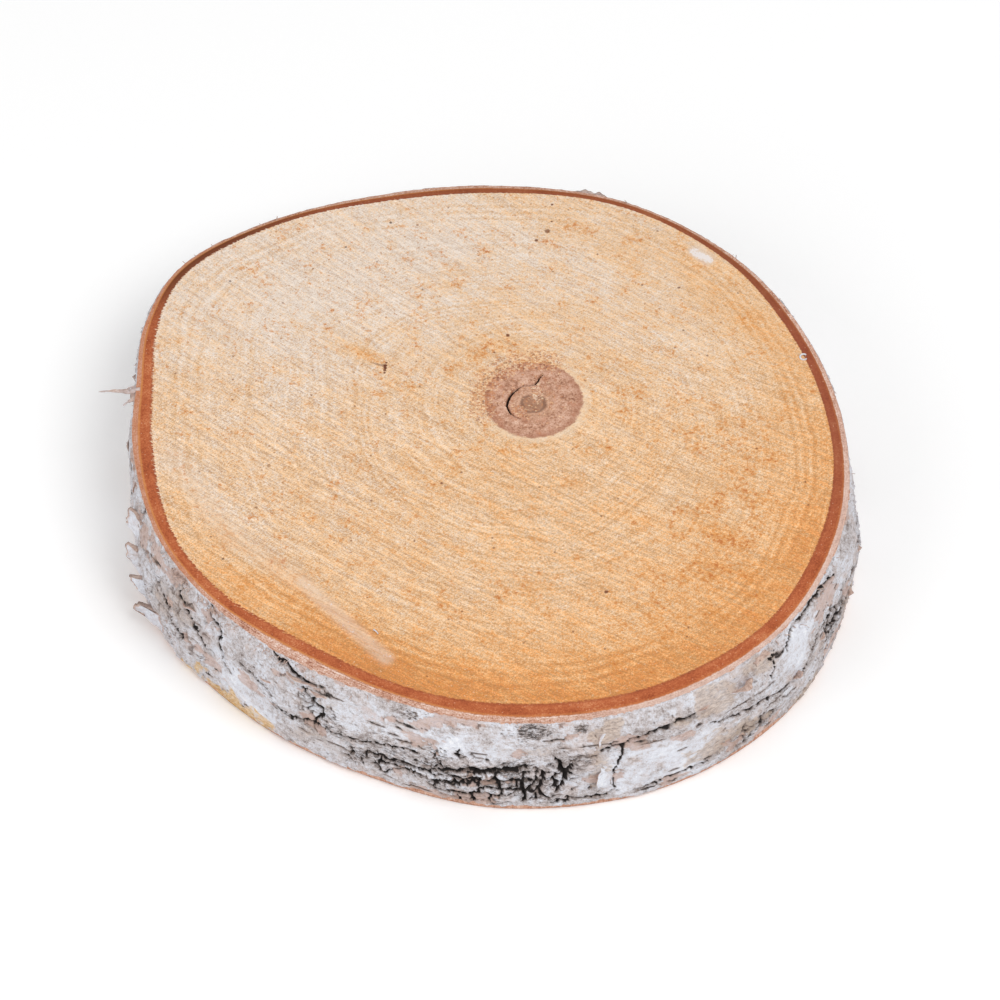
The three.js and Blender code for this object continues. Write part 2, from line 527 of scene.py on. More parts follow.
# Areas of each kind of bark: (bearing, height, half length round the trunk, half height, strength).
BARK_AREAS = {
    "rough": [
        (270, 14, 28, 10, 1), (281, 20, 6, 9, 0.8), (334, 18, 13, 8, 0.9), (210, 22, 19, 16, 0.4),
        (312, 9, 11, 5, 0.6), (252, 12, 9, 6, 0.7), (241, 25, 6, 7, 0.6), (60, 19, 26, 11, 0.9),
        (118, 12, 20, 9, 0.9), (158, 25, 14, 9, 0.8), (8, 12, 14, 7, 0.7), (90, 31, 12, 5, 0.7),
        (350, 22, 8, 10, 0.7),
    ],
    "smooth": [
        (296, 17, 17, 11, 1), (321, 28, 9, 9, 0.9), (250, 30, 16, 7, 0.8), (268, 30, 16, 6, 0.7),
        (35, 24, 22, 12, 0.9), (140, 20, 18, 12, 0.9), (102, 25, 15, 9, 0.8), (178, 20, 11, 9, 0.7),
        (75, 20, 6, 16, 0.5), (301, 36, 8, 4, 0.9), (227, 12, 14, 9, 0.5),
    ],
    "tan": [
        (286.5, 34, 5, 5, 1), (285.5, 17, 4, 9, 0.7), (303, 34, 12, 5, 0.9), (307, 13, 13, 6, 0.9),
        (313, 36, 8, 4, 0.8), (323, 3, 12, 3.5, 0.9), (243, 33, 6, 4, 0.5), (240, 10, 12, 4, 0.5),
        (213, 30, 9, 8, 0.6), (207, 20, 7, 12, 0.5), (20, 31, 12, 5, 0.9), (76, 8, 13, 5, 0.8),
        (130, 33, 10, 4, 0.8), (170, 8, 11, 4, 0.8), (275, 29, 8, 3, 0.5), (340, 8, 9, 5, 0.8),
    ],
    # Dirt and soot patches, and the broad patch at bearing 253, which darkens the front-left wall as painted
    # shade.
    "dirt": [
        (277, 36.5, 8, 2.8, 1.15), (283, 22, 5, 6, 1), (251, 12, 7, 4, 0.8), (257, 37.5, 4, 1.8, 1.1),
        (268, 33, 5, 4, 0.6), (309, 10, 13, 5, 0.8), (208, 22, 14, 14, 0.2), (253, 24, 26, 13, 0.65),
        (333, 18, 12, 8, 0.7), (283.5, 37.5, 3.5, 2, 1.15), (268, 14, 26, 8, 0.6), (262, 26, 24, 5, 0.3),
        (64, 22, 12, 6, 0.8), (116, 12, 12, 6, 0.8), (156, 27, 8, 5, 0.8), (6, 13, 9, 4, 0.8),
    ],
    "pale": [
        (258, 30, 6, 5, 1), (264, 31, 4, 5, 1), (226, 15, 6, 8, 1), (221, 27, 2.5, 7, 1),
        (288, 14, 3.4, 8, 1), (281, 12, 5, 4, 0.9), (260, 13.5, 6, 2.5, 0.9), (297, 17, 17, 9, 0.3),
        (321, 30, 8, 8, 0.7), (241, 24, 4, 3.5, 1), (267, 10, 7, 3, 0.8), (253, 9, 5, 3, 0.8),
        (269, 17, 5, 2, 0.9), (40, 22, 16, 9, 0.6), (138, 22, 14, 9, 0.6),
    ],
    "yellow": [
        (224, 3, 22, 5, 1), (322, 1, 9, 4.5, 0.5), (92, 1.5, 14, 4, 0.6),
    ],
}
# Cracks in the bark: width, depth, how much soot lies round it, and its path of (bearing, height).
CRACKS = [
    (1.0, 1.3, 0.7, [(233, 17), (238.4, 17.3), (242.1, 18.5), (245.7, 18.6), (250.3, 20.2), (255.5, 22.5),
         (259, 22.8)]),
    (1.1, 1.6, 0.5, [(232.6, 38.8), (235.3, 37.5), (239.4, 35.1), (241.4, 35.8)]),
    (1.1, 1.6, 0.3, [(218, 39.5), (218.5, 34.8), (220.8, 35.2), (221.8, 32.3), (221, 29.1), (222.4, 23.4),
         (222.7, 19), (224, 17)]),
    (0.8, 1.2, 0.3, [(238.9, 32.3), (240.3, 29.9), (242.7, 28.4), (243.1, 24.1), (241.2, 20.5)]),
    (0.9, 1.3, 0.5, [(250, 14), (255.9, 15.4), (260.7, 15.8), (263.5, 18.5)]),
    (2.3, 2.4, 1.1, [(263.5, 18.6), (265.4, 19.6), (268.7, 19.9), (271.3, 21.6), (273.8, 21.8), (275, 23)]),
    (1.2, 1.7, 1.1, [(257.8, 12.3), (260.7, 11.7), (264.6, 13.0), (267.6, 14.7), (270.6, 15.2),
         (273.8, 16.5), (277, 16)]),
    (1.2, 1.6, 0.6, [(274.5, 16), (274.8, 10.8), (275.1, 5.4)]),
    (1.1, 1.5, 0.6, [(276.6, 22.9), (277.9, 18.3), (276.9, 10.7), (278.7, 5)]),
    (1.2, 1.6, 0.7, [(280, 25.3), (280.8, 17.7), (280.5, 12.6), (279.5, 9.1)]),
    (1.1, 1.5, 0.7, [(262, 8), (267, 7), (272, 8.5)]),
    (0.8, 1.2, 0.5, [(281, 6), (284, 5), (287.5, 6)]),
    (0.9, 1.5, 0.6, [(286, 28.5), (288.7, 29.2), (291.8, 30.5), (295.9, 32.4), (300, 32.8)]),
    (0.5, 0.9, 0.2, [(289.1, 28.3), (288.8, 23.8), (287.8, 17), (287.7, 8.1)]),
    (0.9, 1.4, 0.5, [(303, 24.5), (307.8, 21.8), (312, 21.2), (315.3, 18.3), (319.7, 16.3)]),
    (0.9, 1.5, 0.5, [(318.4, 33.0), (319.4, 35.0), (320.3, 37.4), (322.6, 38.6), (326, 38.8), (330, 38.0),
         (334, 36)]),
    (1.1, 1.5, 0.7, [(334.5, 23.3), (329.8, 24.5), (325.8, 24.8), (323.4, 20.5), (321.6, 15.2)]),
    (0.3, 0.6, 0.1, [(316.3, 37), (315, 35), (315.4, 32), (314, 28)]),
    (1.6, 2.2, 0.8, [(330, 17), (333, 19), (336, 17), (338, 13)]),
    (0.8, 1.3, 0.4, [(291, 5), (296, 6.5), (303, 7)]),
    (2.0, 2.6, 0.6, [(343.5, 29.5), (345.5, 27)]),
    (0.9, 1.2, 0.5, [(340, 24), (346, 20), (352, 21)]),
    (1.9, 2.8, 0.5, [(208, 10.5), (208.6, 7)]),
    (1.7, 2.8, 0.5, [(201, 19), (201.3, 15)]),
    (1.4, 2.4, 0.5, [(194.6, 39), (195, 32)]),
    (0.9, 1.4, 0.5, [(226, 27.5), (229.5, 25), (233, 22)]),
    (0.8, 1.3, 0.4, [(204, 30), (209, 22), (213, 16)]),
    (0.8, 1.2, 0.4, [(211, 34), (215, 27), (218, 21)]),
    (0.8, 1.2, 0.4, [(10, 22), (17, 21.5), (25, 19)]),
    (0.8, 1.2, 0.5, [(30, 30), (38, 28.5), (45, 27.5)]),
    (1.5, 1.9, 0.9, [(52, 12), (58, 11), (64, 13.5), (70, 14)]),
    (0.8, 1.3, 0.3, [(37, 38), (36.6, 30), (38.5, 22), (38.1, 15)]),
    (0.8, 1.1, 0.4, [(75, 27), (80, 25), (84, 26)]),
    (1.3, 1.8, 0.9, [(95, 16), (101, 16.5), (107, 18), (112, 18)]),
    (0.7, 1.2, 0.3, [(101, 38), (101.5, 28), (103.4, 18), (103, 8)]),
    (0.9, 1.2, 0.5, [(120, 30), (127, 28.5), (132, 28)]),
    (1.1, 1.5, 0.8, [(128, 10), (136, 11), (141, 13), (147, 12)]),
    (1.3, 1.7, 0.8, [(150, 24), (155, 24.5), (161, 22)]),
    (0.7, 1.3, 0.3, [(163, 38), (163.4, 30), (164.5, 20)]),
    (0.9, 1.2, 0.5, [(168, 14), (176, 15), (183, 16)]),
    (1.2, 1.6, 0.8, [(55, 21), (60, 21), (66, 23)]),
    (1.1, 1.5, 0.8, [(112, 9), (118, 9.5), (124, 11)]),
]
LENTICELS = 190


def arc_between(bearing, centre):
    """Distance round the trunk from a centre bearing."""
    return (np.mod(bearing - centre + 180, 360) - 180) / 360 * GIRTH


def area_fields(bearing, height, place):
    """How much of each kind of bark there is at each point, with ragged edges."""
    ragged = 0.85 * layered_noise(place, 11, SEED + 40, 5, flatten=1.5, rough=0.62)
    fields = {}
    for kind, areas in BARK_AREAS.items():
        amount = np.zeros(len(bearing))
        for centre, level, length, tall, strength in areas:
            away = np.hypot(arc_between(bearing, centre) / length, (height - level) / tall) + ragged
            amount = np.maximum(amount, strength * smoothstep(1.2, 0.7, away))
        fields[kind] = amount
    fields["smooth"] *= 1 - fields["rough"]
    return fields


def crack_lines(bearing, height, random):
    """Grooves of the listed cracks: how deep and dark, how far the lips stand up, and the soot round them."""
    depth, dark, lips, soot = (np.zeros(len(bearing)) for _ in range(4))
    for width, deep, sooty, path in CRACKS:
        middle = path[len(path) // 2][0]
        us, hs = [], []
        for (b0, h0), (b1, h1) in zip(path, path[1:]):
            length = math.hypot((b1 - b0) / 360 * GIRTH, h1 - h0)
            for share in np.arange(0, 1, 1 / max(2, round(length / 1.5))):
                us.append((mix(b0, b1, share) - middle) / 360 * GIRTH)
                hs.append(mix(h0, h1, share))
        us.append((path[-1][0] - middle) / 360 * GIRTH)
        hs.append(path[-1][1])
        joints = len(us)
        us = np.array(us) + random.normal(0, 0.4, joints)
        hs = np.array(hs) + random.normal(0, 0.4, joints)
        ends = np.sin(np.pi * np.linspace(0.08, 0.92, joints)) ** 0.4
        spread = width * 0.5 * random.uniform(0.55, 1.25, joints) * ends + 0.14
        u = arc_between(bearing, middle)
        reach = 6.0
        near = (u > us.min() - reach) & (u < us.max() + reach)
        near = np.nonzero(near & (height > hs.min() - reach) & (height < hs.max() + reach))[0]
        best = np.full(len(near), np.inf)
        closest = np.full(len(near), np.inf)
        for k in range(joints - 1):
            away = distance_to_line(u[near], height[near], us[k], hs[k], us[k + 1], hs[k + 1])
            closest = np.minimum(closest, away)
            best = np.minimum(best, away / (0.5 * (spread[k] + spread[k + 1])))
        depth[near] = np.maximum(depth[near], deep * smoothstep(1.25, 0.3, best))
        dark[near] = np.maximum(dark[near], smoothstep(1.3, 0.6, best))
        lips[near] = np.maximum(lips[near], 0.4 * np.exp(-((best - 2.0) / 0.7) ** 2))
        soot[near] = np.maximum(soot[near], sooty * np.exp(-(closest / (1.2 + width)) ** 2))
    return depth, dark, lips, soot


def lenticel_marks(bearing, height, random):
    """Short level slits in the bark, each with raised lips."""
    slit = np.zeros(len(bearing))
    swell = np.zeros(len(bearing))
    for _ in range(LENTICELS):
        centre = random.uniform(0, 360)
        level = random.uniform(3, THICKNESS - 4)
        half_length = random.uniform(1.5, 3) if random.random() < 0.7 else random.uniform(3.5, 8.5)
        half_height = random.uniform(0.35, 0.6)
        tilt = random.normal(0, 0.05)
        u = arc_between(bearing, centre)
        near = np.nonzero((np.abs(u) < half_length + 2) & (np.abs(height - level) < 3.5))[0]
        v = (height[near] - level - tilt * u[near]) / half_height
        away = np.hypot(u[near] / half_length, v * 0.9)
        slit[near] = np.maximum(slit[near], smoothstep(1.0, 0.6, away))
        away = np.hypot(u[near] / (half_length + 1), v / 2.6)
        swell[near] = np.maximum(swell[near], smoothstep(1.0, 0.2, away))
    return slit, swell


def torn_layers(place, smooth):
    """Torn layers of paper, each edge a step with a lifted lip: relief, painted shade at the foot of each
    step, bare under-layer.
    """
    sheet = layered_noise(place, 19, SEED + 20, 5, flatten=1.9, rough=0.55)
    relief = np.zeros(len(place))
    edge = np.zeros(len(place))
    for threshold, step in ((-0.38, 0.42), (-0.05, 0.34), (0.34, 0.36)):
        over = sheet - threshold
        relief += step * smoothstep(-0.02, 0.02, over) + 0.26 * np.exp(-((over - 0.03) / 0.03) ** 2)
        # A thin dark line just below each step: painted shade under the lifted lip.
        edge = np.maximum(edge, np.exp(-((over + 0.028) / 0.02) ** 2))
    amount = 1 - 0.6 * smooth
    return (relief - 0.45) * amount, 0.42 * edge * amount, smoothstep(-0.33, -0.43, sheet) * amount


def fissured_plates(place, bearing, height):
    """Cracked plates where the bark is old and rough: relief, fissures, and a random number per plate."""
    warped = np.mod(bearing, 360) / 360 * GIRTH + 1.6 * noise(place, 5, SEED + 21)
    lifted = height + 1.2 * noise(place, 4, SEED + 22)
    gap, plate = plates(warped, lifted, 6.5, 3.9, SEED + 23)
    small_gap, small_plate = plates(warped, lifted, 3.0, 2.1, SEED + 24)
    fissure = np.maximum(smoothstep(0.2, 0.03, gap), 0.4 * smoothstep(0.16, 0.02, small_gap))
    relief = 0.9 * (plate - 0.5) + 0.5 * (small_plate - 0.5) - 1.7 * fissure
    relief += 0.3 * layered_noise(place, 2.6, SEED + 25, 3, flatten=1.4)
    return relief, fissure, plate


def paper_edges(place, height):
    """How much paper there is, and the lips of the ragged lines where it stops short of both cuts."""
    level = place * np.array([1, 1, 0])
    top_line = THICKNESS + 0.1 + 0.8 * noise(level, 9, SEED + 30) + 0.7 * noise(level, 2.2, SEED + 31)
    base_line = 1.7 + 1.0 * noise(level, 21, SEED + 35) + 0.6 * noise(level, 9, SEED + 32)
    base_line += 0.5 * noise(level, 2.4, SEED + 33)
    below_top, above_base = top_line - height, height - base_line
    paper = smoothstep(-0.35, 0.35, below_top) * smoothstep(-0.35, 0.35, above_base)
    lip = np.exp(-((below_top - 0.5) / 0.7) ** 2) + np.exp(-((above_base - 0.5) / 0.7) ** 2)
    return paper, lip


def bark_surface(bearing, height):
    """How far the bark stands out from the trunk's outline, and the attributes that colour it."""
    random = np.random.default_rng(SEED)
    place = polar(np.full(len(bearing), GIRTH / (2 * math.pi)), bearing, height)
    fields = area_fields(bearing, height, place)
    rough, smooth = fields["rough"], fields["smooth"]
    torn, torn_edge_shade, under = torn_layers(place, smooth)
    plate_relief, fissure, plate = fissured_plates(place, bearing, height)
    crack_depth, crack_dark, lips, soot = crack_lines(bearing, height, random)
    crack_dark *= mix(0.3, 1.0, smoothstep(-0.55, -0.1, noise(place, 3.2, SEED + 26)))
    fields["dirt"] = np.maximum(fields["dirt"], soot)
    slit, lenticel = (mark * (1 - rough) for mark in lenticel_marks(bearing, height, random))
    paper, lip = paper_edges(place, height)

    calm = 1 - 0.75 * smooth
    swell = 0.45 * layered_noise(place, 34, SEED + 10, 2)
    wrinkle = 0.22 * layered_noise(place, 12, SEED + 11, 3, flatten=3.2) * calm
    pitted = 0.10 * layered_noise(place, 2.4, SEED + 12, 2) * (0.5 + rough) * calm
    fibres = 0.12 * noise(place, 1.5, SEED + 34, flatten=0.35) * (1 - paper)
    edge_fade = smoothstep(0, 2.2, height) * smoothstep(0, 2.2, THICKNESS - height)
    out = swell + wrinkle + pitted + torn
    out += rough * plate_relief + 0.14 * lenticel - 0.3 * slit
    out += lips * calm - crack_depth
    out = out * edge_fade + 0.3 * lip * (paper - 0.3) - 0.5 * (1 - paper) * edge_fade + fibres
    # Black fissures, cracks and lenticel slits, and the painted shade below torn paper edges.
    crack = np.maximum.reduce([crack_dark, rough * fissure, 0.55 * slit, torn_edge_shade]) * paper
    attributes = {
        "paper": paper, "crack": crack, "under": under, "plate": mix(0.5, plate, rough),
        "lenticel": lenticel, **fields,
    }
    return out, attributes


# Where the rows of points lie across each rim: 0 is the inner bark's inner edge, 1 its outer, 2 the wall.
RIM_LAYERS = [0.5, 0.68, 0.85, 1.0, 1.22, 1.45, 1.7, 1.88]


def rim_rows(height, wall_ring):
    """The rows of points across one rim, from the joint with the wood out to the wall."""
    cambium = cambium_radius(section_bearings, np.full(SECTIONS, float(height)))
    inner = inner_bark(section_bearings)
    wall_radius = np.hypot(wall_ring[:, 0], wall_ring[:, 1])
    away_from_middle = 1 if height > 0 else -1
    rows = []
    for layer in RIM_LAYERS:
        radius = mix(cambium + inner * min(layer, 1.0), wall_radius, max(0.0, layer - 1.0))
        row = polar(radius, section_bearings, height)
        if layer > 1.0:
            grain = layered_noise(row, 1.8, SEED + 50, 2)
            row[:, 2] += away_from_middle * (0.16 * grain - 0.12)
            row[:, 2] = np.clip(row[:, 2], 0.0, THICKNESS + 0.1)
        rows.append(row)
    return rows


def build_bark():
    """One closed ring: across the upper rim, down the wall, across the lower rim, and up the joint."""
    bearing = np.tile(section_bearings, WALL_ROWS)
    height = np.repeat(np.linspace(THICKNESS, 0, WALL_ROWS), SECTIONS)
    out, wall_values = bark_surface(bearing, height)
    wall = polar(outline.radius(bearing, height) + out, bearing, height).reshape(WALL_ROWS, SECTIONS, 3)
    rows = rim_rows(THICKNESS, wall[0]) + list(wall) + rim_rows(0.0, wall[-1])[::-1]
    points = np.concatenate(rows)
    faces = []
    for k in range(len(rows)):
        a, b = k * SECTIONS, (k + 1) % len(rows) * SECTIONS
        for i in range(SECTIONS):
            j = (i + 1) % SECTIONS
            faces.append((a + i, b + i, b + j, a + j))

    rim_layers = np.repeat(RIM_LAYERS, SECTIONS)
    values = {}
    for key, wall_value in wall_values.items():
        rim = np.full(len(rim_layers), 0.5 if key == "plate" else 0.0)
        values[key] = np.concatenate([rim, wall_value, rim])
    on_wall = np.ones(len(out))
    values["layer"] = np.concatenate([rim_layers, 2 * on_wall, rim_layers[::-1]])
    values["wall"] = np.concatenate([0 * rim_layers, on_wall, 0 * rim_layers])
    sharp = np.zeros(len(points), bool)
    sharp[:SECTIONS] = True
    sharp[-SECTIONS:] = True
    return make_piece("bark", points, faces, values, uv=bark_uv(rows, faces), sharp_points=sharp)


UV_STRIPS = 4


def bark_uv(rows, faces):
    """The ring unrolled and cut into equal strips, one above the other; the hidden joint gets a thin band."""
    mean_steps = [float(np.mean(np.linalg.norm(rows[k + 1] - rows[k], axis=1))) for k in range(len(rows) - 1)]
    down = np.concatenate([[0], np.cumsum(mean_steps)])
    down = down / down[-1]
    per_strip = SECTIONS // UV_STRIPS
    strip_tall = 0.96 / UV_STRIPS
    corners = []
    for index in range(len(faces)):
        k, i = divmod(index, SECTIONS)
        strip, column = divmod(i, per_strip)
        left = 0.01 + 0.98 * column / per_strip
        right = 0.01 + 0.98 * (column + 1) / per_strip
        base = 0.005 + strip * (strip_tall + 0.008)
        if k < len(rows) - 1:
            v0, v1 = base + strip_tall * down[k], base + strip_tall * down[k + 1]
        else:
            v0, v1 = 0.994 + 0.001 * strip, 0.9948 + 0.001 * strip
        corners += [(left, v0), (left, v1), (right, v1), (right, v0)]
    return corners


# --- loose curls, splinters and fibres ---

# Bark that came away from a base line: (bearing and height of the middle of that line, its length, how far
# the bark reaches, which way on the wall (0 is round the trunk, 90 is up), the angle at which it leaves the
# trunk, how much further it curls, how much it narrows, and where along the base its tip is, from 0 to 1).
# The flakes are thick and split off towards the back, each with its point at its top corner.
FLAKES = [
    (195.2, 28.5, 12, 10.5, 180, 26, 8, 0.5, 0.1), (198.6, 18.5, 14, 11.5, 180, 28, 6, 0.85, 0.07),
    (201.2, 12.4, 14, 9.0, 180, 50, 10, 0.9, 0.06), (205.0, 5.2, 9.4, 13.5, 180, 31, 4, 0.9, 0.06),
]
# The flaps are thin paper.
FLAPS = [
    (178.0, 30, 13, 4, 90, 12, 30, 0.4, 0.5), (187.0, 33, 8, 3, 20, 12, 40, 0.5, 0.5),
    (241.5, 30.5, 9, 4, 80, 15, 60, 0.6, 0.4), (238.5, 33.5, 13, 3.4, 85, 25, 45, 0.3, 0.6),
    (232.0, 25.0, 8, 3.5, 95, 20, 60, 0.4, 0.5), (219.8, 30.0, 9, 3.5, 185, 18, 50, 0.5, 0.3),
    (222.6, 20.0, 9, 3.5, 170, 18, 50, 0.4, 0.5), (214.0, 30, 8, 4, 100, 14, 50, 0.5, 0.5),
    (287.9, 15.5, 16, 7.5, 178, 15, 8, 0.5, 0.65), (286.6, 28, 14, 2.6, 178, 10, 35, 0.2, 0.5),
    (308.8, 31.5, 11, 7.5, 95, 24, 52, 0.6, 0.4), (302.0, 31.5, 7, 2.5, 90, 18, 60, 0.5, 0.5),
    (320.0, 15.0, 6, 7.0, 90, 12, 62, 0.7, 0.3), (322.5, 33.5, 7, 3.0, 20, 18, 60, 0.5, 0.5),
    (328.0, 18.0, 5, 3.5, 90, 20, 70, 0.5, 0.5), (341.0, 9.0, 5, 4.0, 90, 18, 70, 0.5, 0.5),
    (344.0, 24.0, 5, 4.0, 90, 18, 70, 0.5, 0.5), (352.0, 20, 8, 3.0, 90, 15, 60, 0.4, 0.5),
    (28.0, 12, 9, 4, 90, 15, 70, 0.5, 0.5), (47.0, 27, 9, 4.0, 0, 15, 60, 0.5, 0.5),
    (71.0, 14, 12, 8.0, 95, 14, 66, 0.7, 0.3), (88.0, 33, 12, 3.5, 270, 15, 60, 0.5, 0.5),
    (98.0, 20, 10, 7.0, 95, 14, 66, 0.8, 0.7), (112.0, 22, 8, 4.0, 0, 15, 60, 0.5, 0.5),
    (134.0, 14, 11, 5.0, 180, 15, 60, 0.6, 0.5), (146.0, 31, 10, 3.0, 270, 15, 50, 0.5, 0.5),
    (160.0, 22, 9, 5.0, 90, 15, 60, 0.5, 0.5), (171.0, 14, 10, 8.0, 95, 14, 60, 0.8, 0.3),
]
FLAKE_THICK = 2.6
FLAP_THICK = 0.7
# Chips of bark at the upper rim: (bearing, half its length, how far it stands out, height, depth).
CHIPS = [
    (73.5, 7.5, 2.6, 39.6, 4.0), (168.8, 4.2, 2.6, 39.0, 7.0), (183.0, 6.5, 1.4, 38.8, 6.0),
    (101, 7, 1.3, 39.6, 3), (116, 9, 1.0, 39.4, 4), (148, 5, 1.0, 39.2, 5), (127, 6, 0.9, 39.2, 4),
    (58, 6, 0.8, 39.4, 4),
]
RIM_FIBRES = 260
# The splinter's strands: (bearing, height, length, droop, thickness, how far it leans towards +Y).
SPLINTERS = [
    (168.4, 38.9, 12.6, -0.5, 1.15, -0.02), (169.4, 38.3, 4.0, 0.8, 1.2, -0.5),
    (167.6, 38.6, 3.0, 0.2, 1.1, 0.1),
]
PAPER_CURL = (106.4, 39.3)
SAW_FIBRE = (-38.2, -83.0)
UP = np.array([0.0, 0.0, 1.0])


class Loose:
    """Gathers small closed shells into one mesh."""

    def __init__(self):
        self.points, self.faces, self.under = [], [], []
        self.count = 0

    def shell(self, front, back, under_front, under_back):
        """A thin closed sheet between two grids of points, coloured from paper (0) to cork (1)."""
        rows, columns = front.shape[:2]
        first = self.count
        self.points += [front.reshape(-1, 3), back.reshape(-1, 3)]
        size = rows * columns
        self.count += 2 * size
        for under in (under_front, under_back):
            self.under.append(np.broadcast_to(under, (rows, columns)).ravel())
        for r in range(rows - 1):
            for c in range(columns - 1):
                a = first + r * columns + c
                b, d, e = a + 1, a + columns, a + columns + 1
                self.faces.append((a, b, e, d))
                self.faces.append((a + size, d + size, e + size, b + size))
        border = [(0, c) for c in range(columns)] + [(r, columns - 1) for r in range(1, rows)]
        border += [(rows - 1, c) for c in range(columns - 2, -1, -1)]
        border += [(r, 0) for r in range(rows - 2, 0, -1)]
        ring = [first + r * columns + c for r, c in border]
        for k, a in enumerate(ring):
            b = ring[(k + 1) % len(ring)]
            self.faces.append((b, a, a + size, b + size))

    def tube(self, path, radii, under, sides=6):
        """A closed tapered tube along a path of points."""
        first = self.count
        path = np.asarray(path, float)
        tangent = np.gradient(path, axis=0)
        tangent /= np.linalg.norm(tangent, axis=1)[:, None]
        helper = UP if abs(tangent[0, 2]) < 0.8 else np.array([1.0, 0.0, 0.0])
        side = np.cross(tangent, helper)
        side /= np.linalg.norm(side, axis=1)[:, None]
        over = np.cross(side, tangent)
        turn = np.arange(sides) * 2 * math.pi / sides
        for k, centre in enumerate(path):
            ring = np.cos(turn)[:, None] * side[k] + np.sin(turn)[:, None] * over[k]
            self.points.append(centre + radii[k] * ring)
        self.count += sides * len(path)
        self.under.append(np.full(sides * len(path), under))
        for k in range(len(path) - 1):
            for i in range(sides):
                j = (i + 1) % sides
                a, b = first + k * sides, first + (k + 1) * sides
                self.faces.append((a + i, a + j, b + j, b + i))
        self.faces.append(tuple(first + i for i in reversed(range(sides))))
        last = first + (len(path) - 1) * sides
        self.faces.append(tuple(last + i for i in range(sides)))


def wall_frame(bearing, height):
    """A point on the trunk's side with its outward and tangential directions."""
    b = np.array([float(bearing)])
    h = np.array([float(height)])
    at = polar(outline.radius(b, h), b, h)[0]
    ahead = polar(outline.radius(b + 1, h), b + 1, h)[0]
    tangent = (ahead - at) / np.linalg.norm(ahead - at)
    outward = np.array([tangent[1], -tangent[0], 0.0])
    return at, outward, tangent


def curled_sheet(loose, flap, thick, random):
    """A peeled sheet: it leaves the bark at an angle, curls away from it, and ends in a torn edge."""
    bearing, height, length, reach, way_angle, angle, curl, taper, peak = flap
    start, outward, tangent = wall_frame(bearing, height)
    turn = math.radians(way_angle)
    reach_way = tangent * math.cos(turn) + UP * math.sin(turn)
    side_way = UP * math.cos(turn) - tangent * math.sin(turn)
    rows, columns = 17, 19
    torn = np.convolve(random.uniform(0.75, 1.1, columns + 2), [0.25, 0.5, 0.25], mode="valid")
    along_base = np.linspace(0, 1, columns)
    shape = np.where(along_base < peak, along_base / peak, (1 - along_base) / (1 - peak))
    torn *= mix(np.ones(columns), 0.22 + 0.78 * shape, taper)
    front = np.zeros((rows, columns, 3))
    normal = np.zeros((rows, columns, 3))
    for c in range(columns):
        v = c / (columns - 1) - 0.5
        place = start + side_way * v * length - outward * (0.7 + 1.4 * v * v * length / 20)
        step = reach * torn[c] / (rows - 1)
        for r in range(rows):
            u = r / (rows - 1)
            lean = math.radians(angle + curl * u ** 2.2 + 9 * math.sin(5 * v + 2 * u))
            way = reach_way * math.cos(lean) + outward * math.sin(lean)
            if r > 0:
                place = place + way * step
            front[r, c] = place - side_way * (v - (peak - 0.5)) * length * 0.6 * taper * u ** 1.5
            normal[r, c] = outward * math.cos(lean) - reach_way * math.sin(lean)
    crumple = noise(front.reshape(-1, 3), 2.6, SEED + 61).reshape(rows, columns, 1)
    front += normal * 0.45 * crumple
    outer_share = np.linspace(0, 1, rows)[:, None]
    back = front - normal * thick * (1 - 0.6 * outer_share[:, :, None])
    # The torn edges and the inner side show the cork layers; the inner side's tan, set in build_curls, is
    # partly painted shade beneath the curl.
    to_border = np.minimum(along_base, 1 - along_base)[None, :]
    outer_under = np.maximum(smoothstep(0.12, 0.02, to_border), smoothstep(0.85, 1, outer_share))
    outer_under *= min(1, 0.4 * thick)
    inner_under = smoothstep(0.2, 0.6, outer_share) + 0 * to_border
    if np.dot(np.cross(reach_way, side_way), outward) > 0:
        loose.shell(back, front, inner_under, outer_under)
    else:
        loose.shell(front, back, outer_under, inner_under)


def rim_chip(loose, chip):
    """A broken edge of bark that stands out at the upper rim: a low wedge with a ragged outer edge."""
    bearing, half, out, height, depth = chip
    rows, columns = 7, 29
    upper = np.zeros((rows, columns, 3))
    lower = np.zeros((rows, columns, 3))
    for c in range(columns):
        v = 2 * c / (columns - 1) - 1
        at, outward, _ = wall_frame(bearing + v * half / GIRTH * 360, THICKNESS)
        ragged = 0.75 + 0.45 * noise(at[None, :], 1.7, SEED + 62)[0]
        ragged += 0.3 * noise(at[None, :], 4, SEED + 63)[0]
        stand = out * max(0.05, (1 - v ** 4)) * ragged
        for r in range(rows):
            u = r / (rows - 1)
            place = at + outward * mix(-1.6, stand, u)
            upper[r, c] = place
            upper[r, c, 2] = height - 0.5 * u * u
            lower[r, c] = place - outward * 0.4 * u
            lower[r, c, 2] = height - 0.7 - (depth - 0.7) * (1 - u) ** 0.7
    loose.shell(lower, upper, 0.5, 0.8)


def add_splinter(loose):
    """The long splinter at the left of the upper rim, with the torn bark that it is part of."""
    for bearing, height, length, droop, thick, side in SPLINTERS:
        at, outward, tangent = wall_frame(bearing, height)
        way = np.array([-1.0, side, 0.0])
        share = np.linspace(0, 1, 16)
        path = at - outward * 1.5 + way * (share * (length + 1.5))[:, None]
        path[:, 2] -= droop * share ** 2
        path += tangent * (0.2 * np.sin(7 * share) + 0.5 * share ** 2)[:, None]
        loose.tube(path, thick * (1 - share) ** 1.2 + 0.16 + 0.08 * np.sin(23 * share), 0.6)


